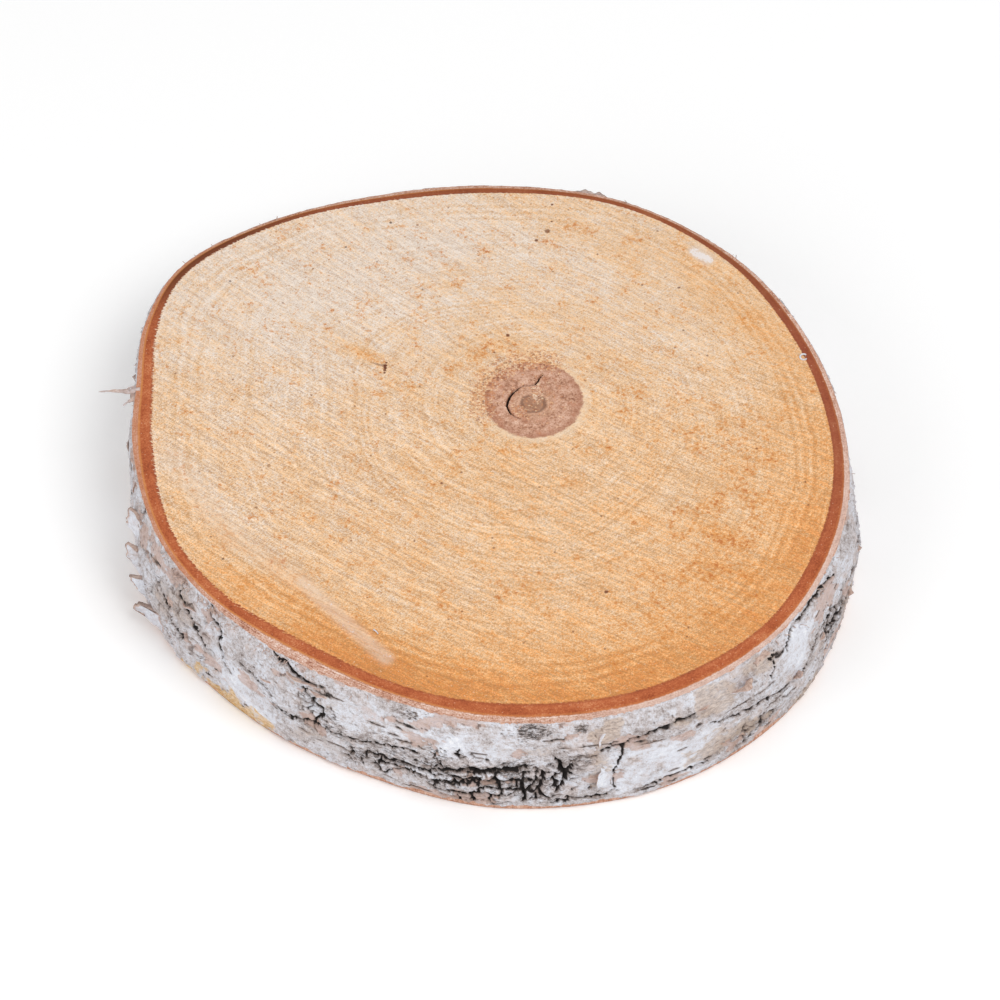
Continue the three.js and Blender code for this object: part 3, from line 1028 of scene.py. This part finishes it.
def add_rim_fibres(loose, random):
    """Torn fibres of cork along the upper rim, half of them in three clumps."""
    for _ in range(RIM_FIBRES):
        clump = random.choice([0.0, 0.0, 0.0, 231.0, 211.0, 221.0])
        bearing = random.uniform(0, 360) if clump == 0.0 else clump + random.normal(0, 3)
        at, outward, tangent = wall_frame(bearing, random.uniform(THICKNESS - 2.5, THICKNESS - 0.4))
        length = random.uniform(0.6, 2.2)
        way = outward * random.uniform(0.1, 0.9) + tangent * random.normal(0, 0.8)
        way += UP * random.normal(-0.1, 0.35)
        way /= np.linalg.norm(way)
        share = np.linspace(0, 1, 5)
        bend = np.cross(way, UP) * random.normal(0, 0.5)
        path = at - outward * 0.6 + way * (share * (length + 0.6))[:, None]
        path += bend * (share ** 2)[:, None]
        loose.tube(path, 0.24 - 0.13 * share, 1.0, sides=4)


def add_saw_litter(loose):
    """A tiny curl of paper on the inner bark at the right, and a pale fibre left by the saw at the left."""
    turn = np.radians(np.linspace(40, 330, 16))
    x, y = PAPER_CURL
    curl = np.stack([x + 1.15 * np.cos(turn), y + 1.15 * np.sin(turn),
                     THICKNESS + 0.3 + 0.25 * np.cos(turn * 0.5)], axis=1)
    loose.tube(curl, np.full(16, 0.33), 0.0)
    share = np.linspace(0, 1, 6)
    x, y = SAW_FIBRE
    fibre = np.stack([x + 1.6 * share, y - 1.8 * share, THICKNESS + 0.15 + 2 * share * (1 - share)], axis=1)
    loose.tube(fibre, 0.3 - 0.12 * share, 0.0)


def build_curls():
    random = np.random.default_rng(SEED + 60)
    loose = Loose()
    for flake in FLAKES:
        curled_sheet(loose, flake, FLAKE_THICK, random)
    for flap in FLAPS:
        curled_sheet(loose, flap, FLAP_THICK, random)
    for chip in CHIPS:
        rim_chip(loose, chip)
    add_splinter(loose)
    add_rim_fibres(loose, random)
    add_saw_litter(loose)
    under = np.concatenate(loose.under)
    same = {"paper": 1, "crack": 0, "plate": 0.6, "lenticel": 0, "rough": 0, "smooth": 0.2, "dirt": 0,
            "yellow": 0, "layer": 2, "wall": 1}
    values = {key: np.full(len(under), float(value)) for key, value in same.items()}
    # Tan follows the cork share on every curl: it is the bark's own tan under-side, and on the flaps' inner
    # sides it is also painted shade beneath the curl.
    values.update(under=under, tan=0.8 * under, pale=0.6 * (1 - under))
    return make_piece("bark_curls", np.concatenate(loose.points), loose.faces, values)


# --- materials ---

def srgb(red, green, blue):
    """A colour on a 0 to 255 scale, as the linear colour that shaders use."""
    channels = []
    for value in (red, green, blue):
        value /= 255
        channels.append(value / 12.92 if value <= 0.04045 else ((value + 0.055) / 1.055) ** 2.4)
    return (*channels, 1.0)


class Shader:
    """A material, and short calls that add its nodes. Sizes and places are in millimetres."""

    def __init__(self, name):
        self.material = bpy.data.materials.new(name)
        self.material.use_nodes = True
        self.nodes = self.material.node_tree.nodes
        self.links = self.material.node_tree.links
        self.surface = next(node for node in self.nodes if node.type == "BSDF_PRINCIPLED")
        coordinates = self.nodes.new("ShaderNodeTexCoord")
        self.place = self.vector("SCALE", coordinates.outputs["Object"], 1 / MM)
        self.x, self.y, self.z = self.split(self.place)

    def feed(self, socket, value):
        if isinstance(value, bpy.types.NodeSocket):
            self.links.new(value, socket)
        else:
            socket.default_value = value

    def math(self, operation, a, b):
        node = self.nodes.new("ShaderNodeMath")
        node.operation = operation
        self.feed(node.inputs[0], a)
        self.feed(node.inputs[1], b)
        return node.outputs[0]

    def vector(self, operation, a, b):
        """Vector maths; for SCALE, b is the factor."""
        node = self.nodes.new("ShaderNodeVectorMath")
        node.operation = operation
        self.feed(node.inputs[0], a)
        self.feed(node.inputs["Scale" if operation == "SCALE" else 1], b)
        return node.outputs["Value" if operation == "DISTANCE" else "Vector"]

    def split(self, vector):
        node = self.nodes.new("ShaderNodeSeparateXYZ")
        self.feed(node.inputs[0], vector)
        return node.outputs

    def join(self, x, y=0.0, z=0.0):
        node = self.nodes.new("ShaderNodeCombineXYZ")
        for socket, value in zip(node.inputs, (x, y, z)):
            self.feed(socket, value)
        return node.outputs[0]

    def attribute(self, name):
        node = self.nodes.new("ShaderNodeAttribute")
        node.attribute_name = name
        return node.outputs["Fac"]

    def noise(self, size, detail=3.0, rough=0.55, place=None):
        node = self.nodes.new("ShaderNodeTexNoise")
        self.feed(node.inputs["Vector"], self.place if place is None else place)
        node.inputs["Scale"].default_value = 1 / size
        node.inputs["Detail"].default_value = detail
        node.inputs["Roughness"].default_value = rough
        return node.outputs["Fac"]

    def cells(self, size, place):
        """A pattern of cells: how far each point is from its cell's middle, and the cell's random numbers."""
        node = self.nodes.new("ShaderNodeTexVoronoi")
        self.feed(node.inputs["Vector"], place)
        node.inputs["Scale"].default_value = 1 / size
        return node.outputs["Distance"], self.split(node.outputs["Color"])

    def step(self, value, start, end, low=0.0, high=1.0):
        """Runs smoothly from low to high as the value goes from start to end."""
        node = self.nodes.new("ShaderNodeMapRange")
        node.interpolation_type = "SMOOTHSTEP"
        self.feed(node.inputs["Value"], value)
        for key, number in zip(("From Min", "From Max", "To Min", "To Max"), (start, end, low, high)):
            node.inputs[key].default_value = number
        return node.outputs["Result"]

    def blend(self, share, a, b):
        node = self.nodes.new("ShaderNodeMix")
        node.data_type = "RGBA"
        self.feed(node.inputs["Factor"], share)
        self.feed(node.inputs[6], a)
        self.feed(node.inputs[7], b)
        return node.outputs[2]

    def ramp(self, value, stops):
        """A colour for each value, through stops of (value, red, green, blue)."""
        node = self.nodes.new("ShaderNodeValToRGB")
        band = node.color_ramp
        while len(band.elements) < len(stops):
            band.elements.new(0.5)
        for element, (position, *colour) in zip(band.elements, stops):
            element.position = position
            element.color = srgb(*colour)
        self.feed(node.inputs[0], value)
        return node.outputs[0]

    def shaken(self, size, amount):
        """The place, pushed about at random, which roughens the edges of what is drawn with it."""
        node = self.nodes.new("ShaderNodeTexNoise")
        self.feed(node.inputs["Vector"], self.place)
        node.inputs["Scale"].default_value = 1 / size
        node.inputs["Detail"].default_value = 2.0
        push = self.vector("SUBTRACT", node.outputs["Color"], (0.5, 0.5, 0.5))
        return self.vector("ADD", self.place, self.vector("SCALE", push, amount))

    def stretched(self, angle, along, across, bow=0.0):
        """The place turned so that X runs at an angle, then divided by a size along and across it."""
        turn = math.radians(angle)
        run = self.total(self.product(self.x, math.cos(turn)), self.product(self.y, math.sin(turn)))
        over = self.total(self.product(self.x, -math.sin(turn)), self.product(self.y, math.cos(turn)))
        if bow:
            over = self.math("SUBTRACT", over, self.product(run, run, bow))
        return self.join(self.math("DIVIDE", run, along), self.math("DIVIDE", over, across))

    def swing(self, value, amount):
        """A noise value's distance from its middle, times an amount."""
        return self.product(self.math("SUBTRACT", value, 0.5), amount)

    def total(self, first, *others):
        for value in others:
            first = self.math("ADD", first, value)
        return first

    def product(self, first, *others):
        for value in others:
            first = self.math("MULTIPLY", first, value)
        return first

    def largest(self, first, *others):
        for value in others:
            first = self.math("MAXIMUM", first, value)
        return first

    def without(self, share):
        """What a share leaves of 1."""
        return self.math("SUBTRACT", 1.0, share)

    def dots(self, place, size, chance, radius, core=0.4):
        """Dots in some of the cells of a random pattern, full from `core` of their radius inwards."""
        away, numbers = self.cells(size, place)
        chosen = self.math("LESS_THAN", numbers[0], chance)
        return self.product(self.step(away, radius, radius * core), chosen)

    def completed(self, colour, roughness, specular, relief, bump_strength, bump_depth):
        """Feeds the surface, and returns the material."""
        self.feed(self.surface.inputs["Base Color"], colour)
        self.feed(self.surface.inputs["Roughness"], roughness)
        self.surface.inputs["Specular IOR Level"].default_value = specular
        bump = self.nodes.new("ShaderNodeBump")
        bump.inputs["Strength"].default_value = bump_strength
        bump.inputs["Distance"].default_value = bump_depth * MM
        self.feed(bump.inputs["Height"], relief)
        self.feed(self.surface.inputs["Normal"], bump.outputs["Normal"])
        return self.material


def inner_bark_colour(shader, layer):
    """Reddish-brown inner bark: grainy, darker along its inner edge, with a golden line along its outer."""
    x, y = shader.x, shader.y
    grain = shader.swing(shader.noise(0.6, 3, 0.75), 1.0)
    clouds = shader.swing(shader.noise(7.0, 3), 0.7)
    colour = shader.ramp(shader.total(0.5, grain, clouds), [
        (0.25, 146, 70, 40), (0.42, 176, 90, 52), (0.58, 192, 106, 64), (0.8, 216, 144, 100),
    ])
    darker = shader.product(shader.step(x, 40, 105), shader.step(y, -70, 10), 0.62)
    colour = shader.blend(darker, colour, srgb(140, 72, 52))
    pale_grains = shader.dots(shader.place, 0.9, 0.14, 0.3, core=0.5)
    colour = shader.blend(shader.product(pale_grains, 0.55), colour, srgb(232, 180, 148))
    colour = shader.blend(shader.step(y, 30, 95, 0.0, 0.6), colour, srgb(124, 68, 42))
    darkest = shader.product(shader.step(y, 55, 80), shader.step(x, -50, -90), 0.8)
    colour = shader.blend(darkest, colour, srgb(106, 56, 30))
    colour = shader.blend(shader.step(layer, 0.3, 0.0, 0.0, 0.5), colour, srgb(134, 62, 36))
    golden = shader.product(shader.step(layer, 0.8, 0.95), shader.step(x, 60, -60, 0.25, 0.7))
    return shader.blend(golden, colour, srgb(216, 146, 86))


def wood_marks(shader):
    """The noises that the wood's colour and its relief share."""
    growth = shader.total(shader.attribute("growth"), shader.swing(shader.noise(26.0, 2), 7.0))
    rings = shader.noise(1.9, 2, 0.5, shader.join(growth))
    seen = shader.step(shader.noise(24.0, 2, 0.5), 0.34, 0.58, 0.4, 1.0)
    return SimpleNamespace(
        saw=shader.noise(1.7, 2, 0.5, shader.stretched(SAW_ANGLE, 26.0, 1.0, SAW_BOW)),
        scratches=shader.noise(0.75, 2, 0.6, shader.stretched(SAW_ANGLE + 3, 7.0, 1.0, SAW_BOW)),
        crossed=shader.noise(0.65, 2, 0.6, shader.stretched(SAW_ANGLE + 82, 3.0, 1.0)),
        streaks=shader.noise(6.0, 3, 0.6, shader.stretched(SAW_ANGLE, 6.0, 1.0, SAW_BOW)),
        clouds=shader.noise(14.0, 4, 0.62),
        mottle=shader.noise(3.4, 4, 0.7),
        grain=shader.noise(0.85, 3, 0.8),
        sand=shader.noise(0.42, 1, 0.5),
        rings=shader.product(shader.math("SUBTRACT", rings, 0.5), seen),
        rough_place=shader.shaken(0.8, 0.7),
    )


def bare_wood_colour(shader, marks):
    """Cream to orange wood with its growth rings and the saw's marks."""
    tone = shader.total(
        shader.attribute("warm"), shader.swing(marks.clouds, 0.55), shader.swing(marks.streaks, 0.4),
        shader.swing(marks.mottle, 0.75), shader.swing(marks.grain, 1.5), shader.swing(marks.saw, 0.4),
        shader.product(marks.rings, -0.8),
    )
    colour = shader.ramp(shader.product(tone, 0.72), [
        (0.0, 232, 217, 203), (0.18, 232, 205, 178), (0.36, 232, 195, 156),
        (0.54, 232, 184, 135), (0.72, 226, 163, 102), (0.95, 208, 136, 76),
    ])
    marked = shader.total(
        shader.swing(marks.sand, 0.75), shader.swing(marks.scratches, 0.6), shader.swing(marks.saw, 0.5),
        shader.swing(marks.crossed, 0.46), shader.product(marks.rings, 0.34),
    )
    marked = shader.product(marked, shader.step(shader.y, 70, -10, 0.85, 1.35))
    colour = shader.vector("SCALE", colour, shader.total(1.0, shader.product(marked, 0.9)))
    return shader.blend(shader.step(marked, 0.02, -0.3, 0.0, 0.5), colour, srgb(200, 144, 90))


def with_specks(shader, colour, marks):
    """Orange specks, in clusters, and pale grains among them."""
    cluster = shader.noise(7.0, 2, 0.5)
    specks = shader.noise(1.5, 3, 0.7, shader.shaken(0.9, 1.0))
    many = shader.total(specks, shader.swing(cluster, 0.5), shader.product(shader.attribute("spots"), 0.12))
    colour = shader.blend(shader.step(many, 0.59, 0.70, 0.0, 0.6), colour, srgb(218, 146, 74))
    colour = shader.blend(shader.step(many, 0.69, 0.79, 0.0, 0.75), colour, srgb(190, 108, 52))
    pale = shader.total(shader.noise(1.0, 2, 0.7), shader.swing(marks.mottle, 0.3))
    return shader.blend(shader.product(shader.step(pale, 0.62, 0.74), 0.55), colour, srgb(248, 226, 194))


def with_pores(shader, colour, marks):
    """Brown dots of three sizes, and short strokes."""
    for size, chance, radius, ink, strength in (
        (2.6, 0.34, 0.2, (186, 132, 88), 0.75),
        (5.2, 0.34, 0.11, (140, 92, 62), 0.8),
        (13.0, 0.3, 0.055, (92, 64, 50), 0.85),
    ):
        dots = shader.dots(marks.rough_place, size, chance, radius)
        colour = shader.blend(shader.product(dots, strength), colour, srgb(*ink))
    for angle, size in ((SAW_ANGLE, 1.6), (-68, 2.0)):
        away, numbers = shader.cells(size, shader.stretched(angle, 3.2, 1.0))
        lucky = shader.math("LESS_THAN", numbers[1], 0.12)
        strokes = shader.product(shader.step(away, 0.15, 0.06), lucky, 0.6)
        colour = shader.blend(strokes, colour, srgb(182, 126, 84))
    return colour


def with_dust(shader, colour, marks):
    """Pale dust dragged by the saw, ragged and whitest where it is thickest."""
    smear = shader.attribute("smear")
    dust = shader.product(smear, shader.step(marks.scratches, 0.25, 0.6, 0.5, 1.0), 0.75)
    colour = shader.blend(dust, colour, srgb(228, 206, 186))
    whiter = shader.total(smear, shader.swing(marks.mottle, 2.5), shader.swing(marks.grain, 1.5))
    return shader.blend(shader.step(whiter, 1.0, 1.4, 0.0, 0.75), colour, srgb(240, 234, 234))


def heartwood_colour(shader, edge):
    """The heart's pinkish brown, stained in places and darker towards its border."""
    tone = shader.total(0.5, shader.swing(shader.noise(0.55, 2, 0.7), 1.1),
                        shader.swing(shader.noise(2.6, 4, 0.7), 1.2))
    heart = shader.ramp(tone, [
        (0.22, 140, 92, 70), (0.4, 184, 134, 108), (0.52, 205, 158, 133), (0.66, 216, 172, 149),
        (0.84, 236, 200, 176),
    ])
    stain = shader.step(shader.noise(4.2, 3, 0.6), 0.52, 0.66, 0.0, 0.5)
    heart = shader.blend(stain, heart, srgb(186, 120, 90))
    border = shader.step(edge, HEART_RADIUS - 3.2, HEART_RADIUS - 0.4, 0.0, 0.5)
    return shader.blend(border, heart, srgb(164, 106, 80))


def with_pith(shader, heart, flat):
    """The swirls round the pith, and the pith with its dark ring."""
    from_pith = shader.vector("DISTANCE", flat, (*PITH, 0.0))
    from_pith = shader.total(from_pith, shader.swing(shader.noise(3.0, 2), 2.2))
    swirl = shader.swing(shader.noise(0.9, 2, 0.6, shader.join(from_pith)), 0.9)
    heart = shader.blend(shader.step(from_pith, 9.5, 5.0, 0.0, 0.35), heart, srgb(196, 150, 118))
    swirl = shader.total(1.0, shader.product(swirl, shader.step(from_pith, 14, 3)))
    heart = shader.vector("SCALE", heart, swirl)
    heart = shader.blend(shader.step(from_pith, 4.3, 3.0, 0.0, 0.62), heart, srgb(150, 106, 82))
    ring = shader.product(shader.step(from_pith, 4.8, 4.0), shader.step(from_pith, 3.0, 3.9), 0.7)
    return shader.blend(ring, heart, srgb(108, 70, 54))


def with_granules(shader, colour, flat, from_middle, upper_left):
    """Grains of sawdust: along the heart's upper left border, in two clumps, and a few elsewhere."""
    away, numbers = shader.cells(0.72, shader.shaken(0.7, 0.5))
    grain_colour = shader.ramp(numbers[0], [
        (0.0, 126, 74, 52), (0.3, 186, 114, 74), (0.65, 216, 150, 100), (0.95, 248, 214, 174),
    ])
    grains = shader.step(away, 0.75, 0.45)
    border = shader.product(shader.step(from_middle, HEART_RADIUS + 9, HEART_RADIUS + 1),
                            shader.step(from_middle, HEART_RADIUS - 6, HEART_RADIUS - 1), upper_left)
    squeezed = shader.join(shader.product(shader.x, CLUMP_SQUEEZE), shader.y)
    clump = shader.vector("DISTANCE", squeezed, (CLUMP[0] * CLUMP_SQUEEZE, CLUMP[1], 0.0))
    clump = shader.step(clump, 6.4, 2.4)
    left_clump = shader.step(shader.vector("DISTANCE", flat, (*LEFT_CLUMP, 0.0)), 4.5, 1.5, 0.0, 0.7)
    scattered = shader.step(from_middle, HEART_RADIUS, 5.0, 0.1, 0.32)
    amount = shader.largest(border, clump, left_clump, scattered)
    amount = shader.product(amount, shader.step(from_middle, HEART_RADIUS + 14, HEART_RADIUS + 6))
    there = shader.step(shader.total(shader.noise(1.6, 2, 0.7), shader.product(amount, 0.42)), 0.64, 0.74)
    colour = shader.blend(shader.product(there, grains, 0.65), colour, grain_colour)
    cream = shader.step(shader.noise(0.9, 2, 0.7), 0.46, 0.56)
    return shader.blend(shader.product(clump, grains, cream, 0.75), colour, srgb(246, 220, 194))


def with_heart(shader, colour):
    """Paints the brown heart with its pale halo, its pith, its granular border, and the open check in near
    black as painted shade in its gap.
    """
    away_x = shader.product(shader.math("SUBTRACT", shader.x, HEART[0]), 1.045)
    away_y = shader.math("SUBTRACT", shader.y, HEART[1])
    from_middle = shader.vector("DISTANCE", shader.join(away_x, away_y), (0.0, 0.0, 0.0))
    edge = shader.total(from_middle, shader.swing(shader.noise(1.5, 4, 0.75), 3.6))
    upper_left = shader.step(shader.math("SUBTRACT", away_y, away_x), -4.0, 16.0)
    around = shader.step(edge, HEART_RADIUS + 4, HEART_RADIUS + 0.5)
    halo = shader.product(around, shader.without(upper_left), 0.5)
    colour = shader.blend(halo, colour, srgb(240, 214, 184))
    flat = shader.join(shader.x, shader.y)
    heart = with_pith(shader, heartwood_colour(shader, edge), flat)
    inside = shader.product(shader.step(edge, HEART_RADIUS + 0.5, HEART_RADIUS - 0.4), 0.96)
    colour = shader.blend(inside, colour, heart)
    colour = with_granules(shader, colour, flat, from_middle, upper_left)
    # The check's near black is painted shade in the gap.
    return shader.blend(shader.step(shader.attribute("check"), 0.2, 0.7), colour, srgb(48, 28, 22))


def with_pits(shader, colour, marks):
    """The dark knots and pits of the upper cut."""
    upper = shader.without(shader.attribute("lower"))
    x, y, _ = shader.split(marks.rough_place)
    flat = shader.join(x, y)
    for px, py, radius, dark in PITS:
        spot = shader.step(shader.vector("DISTANCE", flat, (px, py, 0.0)), radius, radius * 0.5)
        colour = shader.blend(shader.product(spot, upper, dark), colour, srgb(112, 62, 40))
    return colour


def cut_material():
    """The raw saw-cut wood, with the first half of the inner bark round it."""
    shader = Shader("saw_cut_birch")
    marks = wood_marks(shader)
    colour = bare_wood_colour(shader, marks)
    colour = with_specks(shader, colour, marks)
    colour = with_pores(shader, colour, marks)
    colour = with_dust(shader, colour, marks)
    colour = with_heart(shader, colour)
    colour = with_pits(shader, colour, marks)

    layer = shader.attribute("layer")
    teeth = shader.noise(0.6, 2, 0.6, shader.stretched(SAW_ANGLE + 20, 2.6, 1.0))
    fuzz = shader.product(shader.swing(teeth, 1.0), shader.step(shader.x, 20, -100, 0.45, 1.2))
    bark_share = shader.step(shader.total(layer, fuzz), -0.10, 0.10)
    colour = shader.blend(bark_share, colour, inner_bark_colour(shader, layer))
    relief = shader.total(shader.product(marks.saw, 0.5), shader.product(marks.scratches, 0.4),
                          shader.product(marks.grain, 0.45), shader.product(marks.crossed, 0.2))
    return shader.completed(colour, 0.78, 0.3, relief, bump_strength=0.55, bump_depth=0.22)


def bark_marks(shader):
    """The noises and attributes that the bark's colours share."""
    level = shader.join(shader.x, shader.y, shader.product(shader.z, 3.0))  # flat features, round the trunk
    mottle = shader.noise(1.7, 4, 0.72)
    marks = SimpleNamespace(
        clouds=shader.noise(11.0, 4, 0.62),
        bands=shader.noise(5.0, 4, 0.65, level),
        streaks=shader.noise(1.7, 4, 0.72, level),
        mottle=mottle,
        fine=shader.noise(0.5, 2, 0.7),
        ragged=shader.swing(mottle, 1.0),
    )
    for name in ("paper", "crack", "under", "rough", "smooth", "tan", "dirt", "pale", "yellow", "plate",
                 "lenticel", "layer", "wall"):
        setattr(marks, name, shader.attribute(name))
    return marks


def paper_colour(shader, marks):
    """White paper, from brownish grey to bluish white, with a faint blush."""
    # The dirt attribute greys the paper: dirt and soot, and painted shade on the front-left wall.
    tone = shader.total(
        0.48, shader.swing(marks.clouds, 0.7), shader.swing(marks.bands, 0.5),
        shader.swing(marks.mottle, 0.8), shader.swing(marks.fine, 0.6), shader.product(marks.smooth, 0.13),
        shader.swing(marks.plate, 0.22), shader.product(marks.dirt, -0.07), shader.product(marks.pale, 0.12),
    )
    colour = shader.ramp(tone, [
        (0.14, 124, 112, 107), (0.3, 170, 160, 158), (0.44, 202, 195, 196),
        (0.58, 216, 216, 223), (0.72, 226, 228, 236), (0.9, 242, 242, 245),
    ])
    blush = shader.step(shader.noise(8.0, 4, 0.65), 0.5, 0.7, 0.0, 0.4)
    blush = shader.product(blush, shader.without(shader.product(marks.smooth, 0.6)))
    return shader.blend(blush, colour, srgb(208, 184, 172))


def with_weathering(shader, colour, marks):
    """Grey-black specks and streaks."""
    # The dirt attribute adds grey: dirt and soot, and painted shade on the front-left wall.
    soot = shader.total(
        marks.streaks, shader.swing(marks.clouds, 0.25), shader.product(marks.dirt, 0.17),
        shader.product(marks.rough, 0.03), shader.product(marks.smooth, -0.1),
        shader.product(marks.pale, -0.08),
    )
    colour = shader.blend(shader.step(soot, 0.55, 0.69, 0.0, 0.5), colour, srgb(132, 120, 114))
    return shader.blend(shader.step(soot, 0.64, 0.78, 0.0, 0.9), colour, srgb(58, 50, 47))


def with_under_layers(shader, colour, marks):
    """Tan where the top paper came off, pink-brown where more did, and brown lenticels."""
    tan_colour = shader.ramp(marks.streaks, [
        (0.3, 112, 92, 78), (0.45, 170, 146, 128), (0.58, 208, 186, 168), (0.72, 228, 214, 202),
    ])
    tan = shader.total(marks.tan, shader.product(marks.ragged, 1.6), shader.swing(marks.bands, 1.4))
    colour = shader.blend(shader.step(tan, 0.25, 1.0, 0.0, 0.72), colour, tan_colour)
    pink_colour = shader.ramp(marks.streaks, [
        (0.3, 140, 102, 86), (0.5, 196, 158, 140), (0.7, 226, 198, 182),
    ])
    under = shader.total(marks.under, shader.product(marks.ragged, 0.7))
    colour = shader.blend(shader.step(under, 0.4, 0.7, 0.0, 0.55), colour, pink_colour)
    return shader.blend(shader.step(marks.lenticel, 0.3, 0.9, 0.0, 0.35), colour, srgb(150, 126, 110))


def with_cracks(shader, colour, marks):
    """Black in the fissures and in the painted shade below torn paper edges, with brown along their edges."""
    black = shader.total(marks.crack, shader.product(marks.ragged, 0.7))
    colour = shader.blend(shader.step(black, 0.12, 0.4, 0.0, 0.6), colour, srgb(120, 102, 92))
    return shader.blend(shader.step(black, 0.3, 0.6), colour, srgb(40, 34, 32))


def with_cork(shader, colour, marks):
    """Pink cork beyond the torn edge of the paper, streaked by its layers, and yellow scars near the base."""
    upright = shader.join(shader.x, shader.y, shader.product(shader.z, 0.3))
    cork_tone = shader.total(0.5, shader.swing(shader.noise(0.8, 3, 0.75, upright), 1.0),
                             shader.swing(marks.streaks, 0.8))
    cork = shader.ramp(cork_tone, [
        (0.22, 150, 96, 74), (0.42, 196, 144, 118), (0.58, 216, 172, 150), (0.8, 236, 212, 198),
    ])
    cork = shader.blend(shader.step(shader.y, 10, 100, 0.0, 0.45), cork, srgb(160, 118, 98))
    paper = shader.step(shader.total(marks.paper, shader.product(marks.ragged, 0.8)), 0.35, 0.6)
    colour = shader.blend(paper, cork, colour)
    scar = shader.ramp(marks.streaks, [(0.36, 184, 136, 76), (0.52, 220, 180, 120), (0.68, 232, 218, 196)])
    yellow = shader.total(marks.yellow, marks.ragged, shader.swing(marks.bands, 0.8))
    return shader.blend(shader.step(yellow, 0.4, 1.1, 0.0, 0.9), colour, scar)


def rim_colour(shader, marks):
    """The cut ends of the layers across the rims: inner bark, then cork in fine lines."""
    x, y = shader.x, shader.y
    across = shader.join(shader.product(marks.layer, 7.0), shader.product(marks.clouds, 6.0))
    lines = shader.noise(1.0, 2, 0.6, across)
    tone = shader.total(0.5, shader.swing(lines, 0.8), shader.swing(marks.fine, 1.0),
                        shader.swing(marks.mottle, 0.7))
    cork = shader.ramp(tone, [
        (0.22, 146, 92, 72), (0.4, 198, 146, 122), (0.56, 218, 176, 156), (0.76, 242, 220, 208),
    ])
    lighter = shader.product(shader.step(x, 10, 60), shader.step(y, 40, -30), 0.5)
    cork = shader.blend(lighter, cork, srgb(230, 204, 192))
    golden = shader.product(shader.step(x, -86, -102), shader.step(y, 100, 90), 0.6)
    cork = shader.blend(golden, cork, srgb(196, 122, 80))
    cork = shader.blend(shader.step(y, 60, 100, 0.0, 0.25), cork, srgb(160, 118, 92))
    cork_share = shader.step(shader.total(marks.layer, shader.product(marks.ragged, 0.3)), 0.97, 1.12)
    return shader.blend(cork_share, inner_bark_colour(shader, marks.layer), cork)


def bark_material():
    """Papery white bark over pink cork, with black fissures, tan under-layers and grey weathering."""
    shader = Shader("birch_bark")
    marks = bark_marks(shader)
    colour = paper_colour(shader, marks)
    colour = with_weathering(shader, colour, marks)
    colour = with_under_layers(shader, colour, marks)
    colour = with_cracks(shader, colour, marks)
    colour = with_cork(shader, colour, marks)
    colour = shader.blend(shader.step(marks.wall, 0.3, 0.7), rim_colour(shader, marks), colour)
    roughness = shader.step(shader.product(marks.smooth, marks.paper), 0.2, 0.9, 0.85, 0.68)
    relief = shader.total(shader.product(marks.mottle, 0.8), shader.product(marks.fine, 0.35),
                          shader.product(marks.streaks, 0.5))
    return shader.completed(colour, roughness, 0.25, relief, bump_strength=0.8, bump_depth=0.6)


# --- floor, light and camera ---

FLOOR_HALF = 6.0  # metres
FLOOR_DROP = 0.0002  # metres below the lower cut, so that the two faces don't fight


def add_floor():
    mesh = bpy.data.meshes.new("floor")
    half = FLOOR_HALF
    corners = [(-half, -half, 0), (half, -half, 0), (half, half, 0), (-half, half, 0)]
    mesh.from_pydata(corners, [], [(0, 1, 2, 3)])
    floor = bpy.data.objects.new("floor", mesh)
    bpy.context.scene.collection.objects.link(floor)
    shader = Shader("pale_floor")
    shader.surface.inputs["Base Color"].default_value = (0.98, 0.98, 0.98, 1)
    shader.surface.inputs["Roughness"].default_value = 0.95
    shader.surface.inputs["Emission Color"].default_value = (1, 1, 1, 1)
    shader.surface.inputs["Emission Strength"].default_value = 0.07
    mesh.materials.append(shader.material)
    floor.location.z = -FLOOR_DROP


# Soft lights: (name, place and size in metres, watts).
AREA_LIGHTS = [("key_light", (0.9, -0.9, 1.9), 1.4, 23.5), ("fill_light", (-1.4, -1.1, 0.9), 1.8, 11)]
WORLD_STRENGTH = 0.56


def add_area_light(name, place, size, watts):
    data = bpy.data.lights.new(name, "AREA")
    data.shape = "DISK"
    data.size = size
    data.energy = watts
    light = bpy.data.objects.new(name, data)
    light.location = place
    light.rotation_euler = (Vector((0, 0, 0.03)) - Vector(place)).to_track_quat("-Z", "Y").to_euler()
    bpy.context.scene.collection.objects.link(light)


def add_light():
    world = bpy.data.worlds.new("studio")
    world.use_nodes = True
    background = world.node_tree.nodes["Background"]
    background.inputs["Color"].default_value = (1, 1, 1, 1)
    background.inputs["Strength"].default_value = WORLD_STRENGTH
    bpy.context.scene.world = world
    for light in AREA_LIGHTS:
        add_area_light(*light)
    bpy.context.scene.view_settings.view_transform = "Standard"


def add_camera():
    data = bpy.data.cameras.new("camera")
    data.lens = LENS
    data.sensor_width = SENSOR
    data.clip_end = 100
    camera = bpy.data.objects.new("camera", data)
    tilt = math.radians(CAMERA_ELEVATION)
    aim = np.array([CAMERA_AIM[0], CAMERA_AIM[1], THICKNESS])
    back = np.array([0, -math.cos(tilt), math.sin(tilt)]) * CAMERA_DISTANCE
    camera.location = (aim + back) * MM
    camera.rotation_euler = (math.pi / 2 - tilt, 0, 0)
    bpy.context.scene.collection.objects.link(camera)
    bpy.context.scene.camera = camera


add_camera()
add_light()
add_floor()
bark = bark_material()
settle(build_wood(), cut_material())
settle(build_bark(), bark)
settle(build_curls(), bark)
